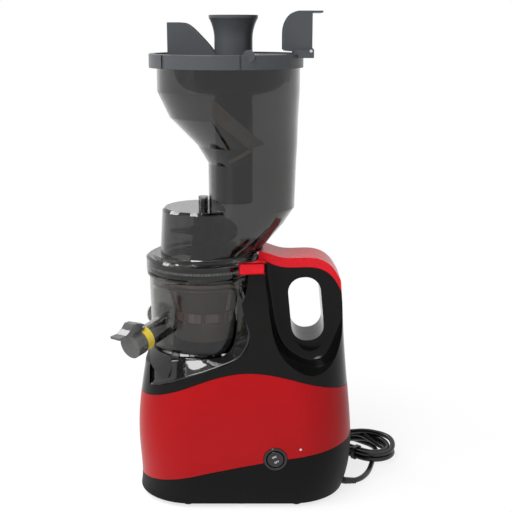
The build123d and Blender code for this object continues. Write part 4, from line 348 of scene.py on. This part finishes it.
# %% Base finishes
red_lacquer = finish("red_lacquer", (0.31, 0.004, 0.006), 0.34, metallic=0.12, coat=0.03, specular=0.1)
cap_lacquer = finish("cap_lacquer", (0.55, 0.010, 0.018), 0.28, metallic=0.15, specular=0.12)
tub_black = finish("tub_black", (0.005, 0.0048, 0.0048), 0.5, grain_depth=1.0, specular=0.08)
housing_black = finish("housing_gloss", (0.004, 0.004, 0.0038), 0.13, marks_amount=0.08, specular=0.13)
gloss_black = finish("gloss_black", (0.005, 0.005, 0.005), 0.06, marks_amount=0.04)
foot_rubber = finish("foot_rubber", (0.02, 0.02, 0.02), 0.8, specular=0.2)
steel = finish("steel", (0.62, 0.62, 0.63), 0.3, metallic=1.0)
dress(red_lacquer, "red_band")
dress(cap_lacquer, "handle_cap")
dress(tub_black, "base_tub", "base_plate")
dress(housing_black, "front_housing", "rear_housing")
dress(gloss_black, "bowl_seat", "switch_rocker", "switch_bezel")
dress(foot_rubber, "rubber_feet", "motor_mount", "shaft_seal")
dress(steel, "base_plate_screws", "gearbox_screws", "gear_pins", "motor_bearings", "motor_shaft",
      "output_shaft", "tray_pin", "spout_cap_pin", "auger_top_pin")

# %% [markdown]
# ## Motor and gearbox
# These are hidden in use, but a cut through the machine shows them, so each gets its real
# finish.  They differ only in colour, roughness and metal, so one table lists them all.

# %% Inner finishes
INNER_FINISHES = (
    ("gearbox_grey", (0.30, 0.30, 0.31), 0.5, 0.0, ("gearbox_case", "gearbox_lid")),
    ("bronze", (0.55, 0.36, 0.16), 0.4, 1.0, ("output_bushes",)),
    ("acetal", (0.80, 0.79, 0.75), 0.4, 0.0, ("first_gear", "second_gear", "wiper_pinion", "cooling_fan")),
    ("dark_steel", (0.36, 0.36, 0.37), 0.4, 1.0, ("output_gear", "field_core", "armature_core", "motor_can")),
    ("copper", (0.72, 0.32, 0.16), 0.35, 1.0, ("field_coils", "armature_windings", "commutator")),
    ("carbon", (0.03, 0.03, 0.03), 0.7, 0.0, ("carbon_brushes", "brush_holders", "switch_module")),
    ("circuit_green", (0.03, 0.16, 0.06), 0.4, 0.0, ("control_board",)),
    ("lens_clear", (0.75, 0.8, 0.85), 0.1, 0.0, ("indicator_lens",)),
)
for name, colour, roughness, metallic, parts in INNER_FINISHES:
    dress(finish(name, colour, roughness, metallic=metallic), *parts)

# %% [markdown]
# ## Clear parts
# The bowl and the hopper are smoky clear copolyester.  The solids have their real walls,
# so plain transmission gives the dark rims and the doubled edges by itself.

# %% Clear finishes
smoke = finish("smoke_clear", (0.185, 0.188, 0.183), 0.03, marks_amount=0.03, transmission=1.0, ior=1.45,
               specular=0.08)
bowl_smoke = finish("bowl_smoke", (0.29, 0.29, 0.283), 0.03, marks_amount=0.03, transmission=1.0, ior=1.45,
                    specular=0.25)
dark_smoke = finish("smoke_cap", (0.10, 0.105, 0.10), 0.12, transmission=0.5)
silicone = finish("silicone", (0.6, 0.6, 0.58), 0.5, transmission=0.3)
yellow = finish("yellow_silicone", (0.55, 0.42, 0.04), 0.45)
dress(smoke, "hopper")
dress(bowl_smoke, "bowl")
dress(dark_smoke, "spout_cap")
dress(silicone, "bowl_seal", "hopper_seal", "pulp_plug")
dress(yellow, "spout_seal")

# %% [markdown]
# ## Squeezing parts
# The screw is glass filled nylon.  The strainer behind the cage's windows is dusty pink,
# and the cage itself is a brownish grey that stays darker than its windows.

# %% Squeezing finishes
dress(finish("screw_grey", (0.10, 0.09, 0.09), 0.4), "auger")
dress(finish("cage_brown", (0.34, 0.28, 0.255), 0.4), "wiper_cage")
dress(finish("blade_silicone", (0.9, 0.66, 0.6), 0.5), "wiper_blades")
dress(finish("strainer_pink", (0.95, 0.70, 0.64), 0.4), "strainer")
dress(finish("screen_steel", (0.9, 0.72, 0.67), 0.4, metallic=0.2), "strainer_mesh")

# %% [markdown]
# ## Cover
# The cover, the tray and the pusher are dark grey with a soft satin and a fine grain.

# %% Cover finish
cover_grey = finish("cover_grey", (0.052, 0.056, 0.061), 0.33, grain_depth=0.15, grain_pitch=1.5,
                    specular=0.2)
dress(cover_grey, "hopper_cover", "feed_tray", "pusher")

# %% [markdown]
# ## New pieces
# The next pieces are small mouldings that sit on the solids.  Each is a bmesh in
# millimetres.  A ray shot from the front finds the skin that it sits on, its faces are
# turned outwards, and it becomes an object that rides on a body.

# %% Piece helpers
RAY_START = -300                   # well in front of the machine


def skin_y(name, x, z, missed):
    """The front of a solid at a place in millimetres, or a fallback where it has none."""
    hit, spot = nodes[name].ray_cast(Vector((x, RAY_START, z)) * MM, Vector((0, 1, 0)))[:2]
    return spot.y / MM if hit else missed


def turn_towards(shape, way):
    """Make an open sheet's faces agree and look along a direction."""
    bmesh.ops.recalc_face_normals(shape, faces=shape.faces)
    if sum(face.normal.dot(Vector(way)) for face in shape.faces) < 0:
        bmesh.ops.reverse_faces(shape, faces=shape.faces)


def new_piece(name, shape, material, body, smooth=True):
    """Turn a bmesh in millimetres into a piece that rides a body."""
    bmesh.ops.scale(shape, vec=(MM, MM, MM), verts=shape.verts)
    mesh = bpy.data.meshes.new(name)
    shape.to_mesh(mesh)
    shape.free()
    for face in mesh.polygons:
        face.use_smooth = smooth
    mesh.materials.append(material)
    piece = link(name, mesh)
    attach(piece, body)
    print(name, len(mesh.polygons), "faces")
    return piece


# %% [markdown]
# ## Cove under the bowl
# A gloss black sheet falls from the bowl's foot to the housing's front edge and climbs
# beside the bowl along the column.  It could be a surface between two curves.  Here four
# rows of points are bridged: the first lies round the bowl, the last on the housing's
# skin, and the two between sag a little, so the sheet is hollow like a real moulding.

# %% Cove edges
COVE_EDGE = ((-56, 134.5), (-46, 137.5), (-32, 142.5), (-17, 147.8), (0, 153), (14, 158), (28, 163.5),
             (40, 169.5), (47.5, 180), (50.5, 190), (47, 203), (42, 222), (40, 240), (39.5, 253))
COVE_BOWL = ((-146, 152), (-136, 156), (-124, 160), (-112, 162.5), (-100, 163.5), (-90, 164), (-80, 164.5),
             (-70, 166), (-61, 172), (-56, 184), (-53.5, 201), (-52.5, 221), (-52.5, 238), (-52.5, 253))
COVE_GAP, COVE_LIP_GAP, COVE_LIP_Z = 61.9, 64.4, 236     # clear of the bowl, and of its lip above a height
COVE_FEEL = 1.5                    # how far inside the housing's edge its skin is felt
COVE_TUCK = 1.0                    # how far behind that skin the sheet ends
COVE_MISSED = -60

inner_row, outer_row = [], []
for (x, z), (angle, height) in zip(COVE_EDGE, COVE_BOWL):
    skin = skin_y("front_housing", x + COVE_FEEL, z - COVE_FEEL, COVE_MISSED)
    outer_row.append(Vector((x, skin + COVE_TUCK, z)))
    gap = COVE_GAP if height < COVE_LIP_Z else COVE_LIP_GAP
    turn = math.radians(angle)
    inner_row.append(Vector((gap * math.cos(turn), gap * math.sin(turn), height)))
print("cove edge points", len(outer_row))

# %% Cove sheet
COVE_SHARES = (0.0, 0.33, 0.67, 1.0)
COVE_SAG, COVE_WALL = 0.6, 1.2
COVE_CORNER_Z = 175                # below it the sheet sags down, above it back

cove = bmesh.new()
strips = []
for share in COVE_SHARES:
    sag = COVE_SAG * 4 * share * (1 - share)
    row = []
    for inner_spot, outer_spot in zip(inner_row, outer_row):
        spot = inner_spot.lerp(outer_spot, share)
        if outer_spot.z < COVE_CORNER_Z:
            spot.z -= sag
        else:
            spot.y += sag
        row.append(cove.verts.new(spot))
    strips.append([cove.edges.new(pair) for pair in zip(row, row[1:])])
for first, second in zip(strips, strips[1:]):
    bmesh.ops.bridge_loops(cove, edges=first + second)
bmesh.ops.subdivide_edges(cove, edges=cove.edges, cuts=2, smooth=0.8, use_grid_fill=True)
turn_towards(cove, (0, -1, 1))
bmesh.ops.solidify(cove, geom=cove.faces, thickness=COVE_WALL)
new_piece("bowl_cove", cove, gloss_black, "base")

# %% [markdown]
# ## Ears of the handle cap
# The red cap ends in two ears that reach round the bowl's collar.  Their solid stops where
# the collar needs room, so a thin bevelled block carries each ear on in front of it.  A
# cube is enough to start from: its corners are moved to the block's, and then bevelled.

# %% Cap ears
EAR_LEFT_END = (39.0, 57.4, 61.0)  # x, and where it starts and ends across the machine
EAR_RIGHT_END = (66.0, 51.5, 58.5)
EAR_LOW, EAR_HIGH = 256.2, 268.0
EAR_BEVEL = 1.1

for side, name in ((-1, "ear_front"), (1, "ear_rear")):
    ear = bmesh.new()
    bmesh.ops.create_cube(ear, size=1.0)
    for vert in ear.verts:
        x, inside, outside = EAR_RIGHT_END if vert.co.x > 0 else EAR_LEFT_END
        y = outside if vert.co.y > 0 else inside
        vert.co = Vector((x, side * y, EAR_HIGH if vert.co.z > 0 else EAR_LOW))
    bmesh.ops.bevel(ear, geom=ear.edges, offset=EAR_BEVEL, segments=3, profile=0.5, affect="EDGES",
                    material=-1)
    bmesh.ops.recalc_face_normals(ear, faces=ear.faces)
    new_piece(name, ear, cap_lacquer, "base")

# %% [markdown]
# ## Trough in the hopper
# Inside the hopper the sloping floor's trough ends in a slanted edge at the round shaft.
# Its front side shows through the smoky wall as a pale brown band.  The whole trough could
# be lofted, but the wall hides all of it except that side, so two strips stand for it.
# They follow the wall a little way inside, where rays find it.

# %% Trough
TROUGH_BAND = (((13.5, 438.4), (65.5, 391.2)), ((13.5, 418.6), (50.3, 386.0)))
TROUGH_EDGE = (((50.3, 386.0), (27.5, 372.0)), ((53.4, 383.3), (30.6, 369.4)))
TROUGH_INSET, TROUGH_WALL = 4.0, 0.8
TROUGH_CUTS, TROUGH_MISSED = 5, -46
trough_brown = finish("trough_brown", (0.80, 0.62, 0.52), 0.5)

for name, (upper, lower) in (("trough_band", TROUGH_BAND), ("trough_edge", TROUGH_EDGE)):
    strip = bmesh.new()
    strip.faces.new([strip.verts.new((x, 0, z)) for x, z in (upper[0], upper[1], lower[1], lower[0])])
    bmesh.ops.subdivide_edges(strip, edges=strip.edges, cuts=TROUGH_CUTS, use_grid_fill=True)
    for vert in strip.verts:
        vert.co.y = skin_y("hopper", vert.co.x, vert.co.z, TROUGH_MISSED) + TROUGH_INSET
    turn_towards(strip, (0, -1, 0))
    bmesh.ops.solidify(strip, geom=strip.faces, thickness=TROUGH_WALL)
    new_piece(name, strip, trough_brown, "hopper_body")

# %% [markdown]
# ## Switch marks
# Plain ON and OFF marks are printed on the rocker, which is turned a little about its own
# middle.  Letters are made as text, turned into a mesh, and laid on the rocker's face.

# %% Switch marks
SWITCH_MIDDLE = Vector((77.6, -86.3, 61.2))
SWITCH_TURN = math.radians(26)
PRINT_SIZE, PRINT_SHIFT = 3.0, 3.0
PRINT_PROUD = 0.08
print_white = finish("print_white", (0.75, 0.75, 0.74), 0.5)


def printed(name, words, shift):
    """Flat letters on the rocker's face."""
    text = bpy.data.curves.new(name + "_text", "FONT")
    text.body = words
    text.size = PRINT_SIZE * MM
    text.align_x, text.align_y = "CENTER", "CENTER"
    holder = link(name + "_text", text)
    bpy.context.view_layer.update()
    mesh = bpy.data.meshes.new_from_object(holder.evaluated_get(bpy.context.evaluated_depsgraph_get()))
    bpy.data.objects.remove(holder)
    shape = bmesh.new()
    shape.from_mesh(mesh)
    bmesh.ops.scale(shape, vec=(1 / MM, 1 / MM, 1 / MM), verts=shape.verts)
    bmesh.ops.translate(shape, vec=(0, shift, 0), verts=shape.verts)
    bmesh.ops.rotate(shape, cent=(0, 0, 0), matrix=Matrix.Rotation(SWITCH_TURN, 3, "Z"), verts=shape.verts)
    for vert in shape.verts:
        x, z = SWITCH_MIDDLE.x + vert.co.x, SWITCH_MIDDLE.z + vert.co.y
        vert.co = Vector((x, skin_y("switch_rocker", x, z, SWITCH_MIDDLE.y) - PRINT_PROUD, z))
    turn_towards(shape, (0, -1, 0))
    new_piece(name, shape, print_white, "rocker", smooth=False)


printed("mark_on", "ON", PRINT_SHIFT)
printed("mark_off", "OFF", -PRINT_SHIFT)

# %% [markdown]
# ## Mains cord
# A 6 mm round lead leaves from under the rim on the right, curves back on the table and
# goes into a hank beside the machine.  One NURBS curve will hold the whole length; the
# places before the hank are listed, and the hank has axes of its own, along its
# straight sides and across them.

# %% Cord route
CORD_DIAMETER = 6.0
CORD_ROUTE = (
    (148.0, -22.5, 6.8),
    (158.8, -24.8, 5.4),
    (170.4, -21.9, 3.8),
    (180.9, -11.2, 3.1),
    (189.2, 5.4, 3.1),
    (194.2, 24.0, 3.1),
)
HANK_CENTRE, HANK_HEADING = Vector((180.5, 61.0)), math.radians(138.0)
along = Vector((math.cos(HANK_HEADING), math.sin(HANK_HEADING)))
across = Vector((-along.y, along.x))


def hank_place(x, y, z):
    """From the hank's own axes to the machine's."""
    flat = HANK_CENTRE + along * x + across * y
    return flat.x, flat.y, z


print("route points before the hank", len(CORD_ROUTE))

# %% [markdown]
# ### Lanes of the hank
# A turn has two straight sides and two round ends.  An outer and an inner turn lie side by
# side, and the next pair, first the inner and then the outer, lies on top of them.  A lane
# could be drawn by hand, but a formula keeps the strands the same distance apart.

# %% Hank lanes
STRAIGHT, OUTER_LANE, INNER_LANE = 23.0, 24.6, 18.3


def ease(value, start, stop):
    """0 before the start, 1 after the stop, and a smooth change between."""
    share = min(1, max(0, (value - start) / (stop - start)))
    return share * share * (3 - 2 * share)


def on_lane(share, radius):
    """A place on a lane with two straight sides and round ends, by its share of the way."""
    arc = math.pi * radius
    way = (share % 1) * (4 * STRAIGHT + 2 * arc)
    if way < STRAIGHT:
        return way, -radius
    way -= STRAIGHT
    if way < arc:
        return STRAIGHT + radius * math.sin(way / radius), -radius * math.cos(way / radius)
    way -= arc
    if way < 2 * STRAIGHT:
        return STRAIGHT - way, radius
    way -= 2 * STRAIGHT
    if way < arc:
        return -STRAIGHT - radius * math.sin(way / radius), radius * math.cos(way / radius)
    return way - arc - STRAIGHT, -radius


print("lanes", OUTER_LANE, INNER_LANE)

# %% [markdown]
# ### Turns of the hank
# The cord comes in across the hank's first end.  Later turns pass over that stretch, so
# each turn lies one layer up, and dips to the layer below on the side away from it.  Turns
# are counted from the middle of the first straight side, and each change has its window.

# %% Hank entry
LOW_Z, LAYER = 3.1, 6.3            # the cord's middle on the table, and from layer to layer
ENTRY_X, ENTRY_Y, ENTRY_POINTS = (-34.9, 4.54), (18.3, -8.91), 3     # start and step of the way in
BEND_X, BEND_RADIUS, BEND_DEGREES = 1.4, 24.4, (214, 228, 242, 256)  # the bend into the first side

hank = []
for step in range(1, ENTRY_POINTS + 1):
    hank.append((ENTRY_X[0] + ENTRY_X[1] * step, ENTRY_Y[0] + ENTRY_Y[1] * step, LOW_Z))
for degrees in BEND_DEGREES:
    turn = math.radians(degrees)
    hank.append((BEND_X + BEND_RADIUS * math.cos(turn), BEND_RADIUS * math.sin(turn), LOW_Z))
print("entry points", len(hank))

# %% Hank turns
STEPS, FIRST_TURN, LAST_TURN = 20, 0.01, 3.9
GO_INNER, GO_OUTER = (0.97, 1.10), (2.82, 2.95)          # windows of the changes of lane
CLIMB_SECOND, CLIMB_THIRD = (1.90, 2.02), (3.74, 3.88)   # and of the climbs
DIP_DOWN, DIP_UP = (0.03, 0.16), (0.34, 0.52)            # in every turn
ON_TABLE_UNTIL = 0.3

for step in range(round(STEPS * LAST_TURN) + 1):
    turn = step / STEPS + FIRST_TURN
    lane = OUTER_LANE - (OUTER_LANE - INNER_LANE) * (ease(turn, *GO_INNER) - ease(turn, *GO_OUTER))
    dip = ease(turn % 1, *DIP_DOWN) * (1 - ease(turn % 1, *DIP_UP))
    if turn < ON_TABLE_UNTIL:
        dip = 1
    level = 1 + ease(turn, *CLIMB_SECOND) + ease(turn, *CLIMB_THIRD) - dip
    hank.append((*on_lane(turn, lane), LOW_Z + LAYER * level))
print("hank points", len(hank))

# %% Way to the plug
PLUG_FACE = (57.0, 0.0, 12.9)
BETWEEN_Z = 16.0                   # the cord's middle between the hank and the plug
DROP, SINK = (0.25, 0.70), (0.85, 1.0)
PLUG_STEPS = 8

start_x, start_y, start_z = hank[-1]
for step in range(1, PLUG_STEPS + 1):
    share = step / PLUG_STEPS
    x = start_x + (PLUG_FACE[0] - start_x) * share
    y = start_y + (PLUG_FACE[1] - start_y) * ease(share, 0, 1)
    z = start_z - (start_z - BETWEEN_Z) * ease(share, *DROP)
    z -= (BETWEEN_Z - PLUG_FACE[2]) * ease(share, *SINK)
    hank.append((x, y, z))
cord_points = list(CORD_ROUTE) + [hank_place(*spot) for spot in hank]
print("route points", len(cord_points))

# %% [markdown]
# ### The lead
# The lead is one open curve of order 3, pinned at both ends, with a round bevel.  The
# order is set after the points are added, because set before, it would stay at straight
# runs.


# %% Cord
def nurbs(name, points, radius, radii=None):
    """An open NURBS tube through a list of places in millimetres."""
    data = bpy.data.curves.new(name, "CURVE")
    data.dimensions = "3D"
    data.bevel_depth = radius * MM
    data.bevel_resolution = 6
    data.resolution_u = 6
    data.use_fill_caps = True
    line = data.splines.new("NURBS")
    line.points.add(len(points) - 1)
    for number, (point, spot) in enumerate(zip(line.points, points)):
        point.co = (*(Vector(spot) * MM), 1)
        point.radius = radii[number] if radii else 1
    line.order_u = 3
    line.use_endpoint_u = True
    return link(name, data)


cord_rubber = finish("cord_rubber", (0.010, 0.010, 0.011), 0.28, specular=0.4)
power_lead = nurbs("power_lead", cord_points, CORD_DIAMETER / 2)
power_lead.data.materials.append(cord_rubber)
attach(power_lead, "base")
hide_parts("power_cord", "cord_coil")
dress(cord_rubber, "plug", "cord_gland")

# %% [markdown]
# ### The cord as a mesh
# The curve cuts inside its control points, so it is shorter than the lines between them.
# A copy with no thickness is made a mesh, which gives the points that it passes.

# %% Cord mesh
ruler = link("measure", power_lead.data.copy())
ruler.data.bevel_depth = 0
bpy.context.view_layer.update()
line_mesh = bpy.data.meshes.new_from_object(ruler.evaluated_get(bpy.context.evaluated_depsgraph_get()))
bpy.data.objects.remove(ruler)

# %% [markdown]
# ## Strain relief and tie
# Where the lead leaves the base, a tapered rubber sleeve keeps it from kinking.  It is a
# short ridged tube over the first two runs of the route, thick at the gland and thin at
# its end.  A flat band holds the turns of the hank together; it is a box without ends,
# given a wall.

# %% Strain relief
RELIEF_STEPS = 24
RELIEF_THICK, RELIEF_THIN, RELIEF_GROOVE = 1.55, 1.15, 0.10   # in radii of the cord

gland_end, first_bend, second_bend = [Vector(point) for point in CORD_ROUTE[:3]]
relief_points, relief_radii = [], []
for step in range(RELIEF_STEPS + 1):
    share = step / RELIEF_STEPS
    if share > 0.5:
        relief_points.append(first_bend.lerp(second_bend, share * 2 - 1))
    else:
        relief_points.append(gland_end.lerp(first_bend, share * 2))
    groove = RELIEF_GROOVE if step % 2 else 0
    relief_radii.append(RELIEF_THICK - (RELIEF_THICK - RELIEF_THIN) * share - groove)
relief = nurbs("strain_relief", relief_points, CORD_DIAMETER / 2, relief_radii)
relief.data.materials.append(cord_rubber)
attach(relief, "base")
print("strain relief of", len(relief_points), "rings")

# %% Tie
TIE_X, TIE_WIDTH, TIE_WALL = -14.0, 5.0, 0.8
TIE_ROOM, TIE_CORNER = 1.0, 3.0
tie_black = finish("tie_black", (0.012, 0.012, 0.012), 0.5)

tie = bmesh.new()
bmesh.ops.create_cube(tie, size=1.0)
lanes = OUTER_LANE - INNER_LANE + CORD_DIAMETER
bmesh.ops.scale(tie, vec=(TIE_WIDTH, lanes + TIE_ROOM, 2 * LAYER + TIE_ROOM), verts=tie.verts)
ends = [face for face in tie.faces if abs(face.normal.x) > 0.5]
bmesh.ops.delete(tie, geom=ends, context="FACES_ONLY")
lengthwise = [edge for edge in tie.edges if abs((edge.verts[0].co - edge.verts[1].co).x) > 1]
bmesh.ops.bevel(tie, geom=lengthwise, offset=TIE_CORNER, segments=5, profile=0.5, affect="EDGES", material=-1)
bmesh.ops.recalc_face_normals(tie, faces=tie.faces)
bmesh.ops.solidify(tie, geom=tie.faces, thickness=-TIE_WALL)
bmesh.ops.translate(tie, vec=(TIE_X, (OUTER_LANE + INNER_LANE) / 2, LOW_Z + 1.5 * LAYER), verts=tie.verts)
for vert in tie.verts:
    vert.co = Vector(hank_place(*vert.co))
hank_tie = new_piece("hank_tie", tie, tie_black, "base", smooth=False)

# %% Cord done
print("cord done")
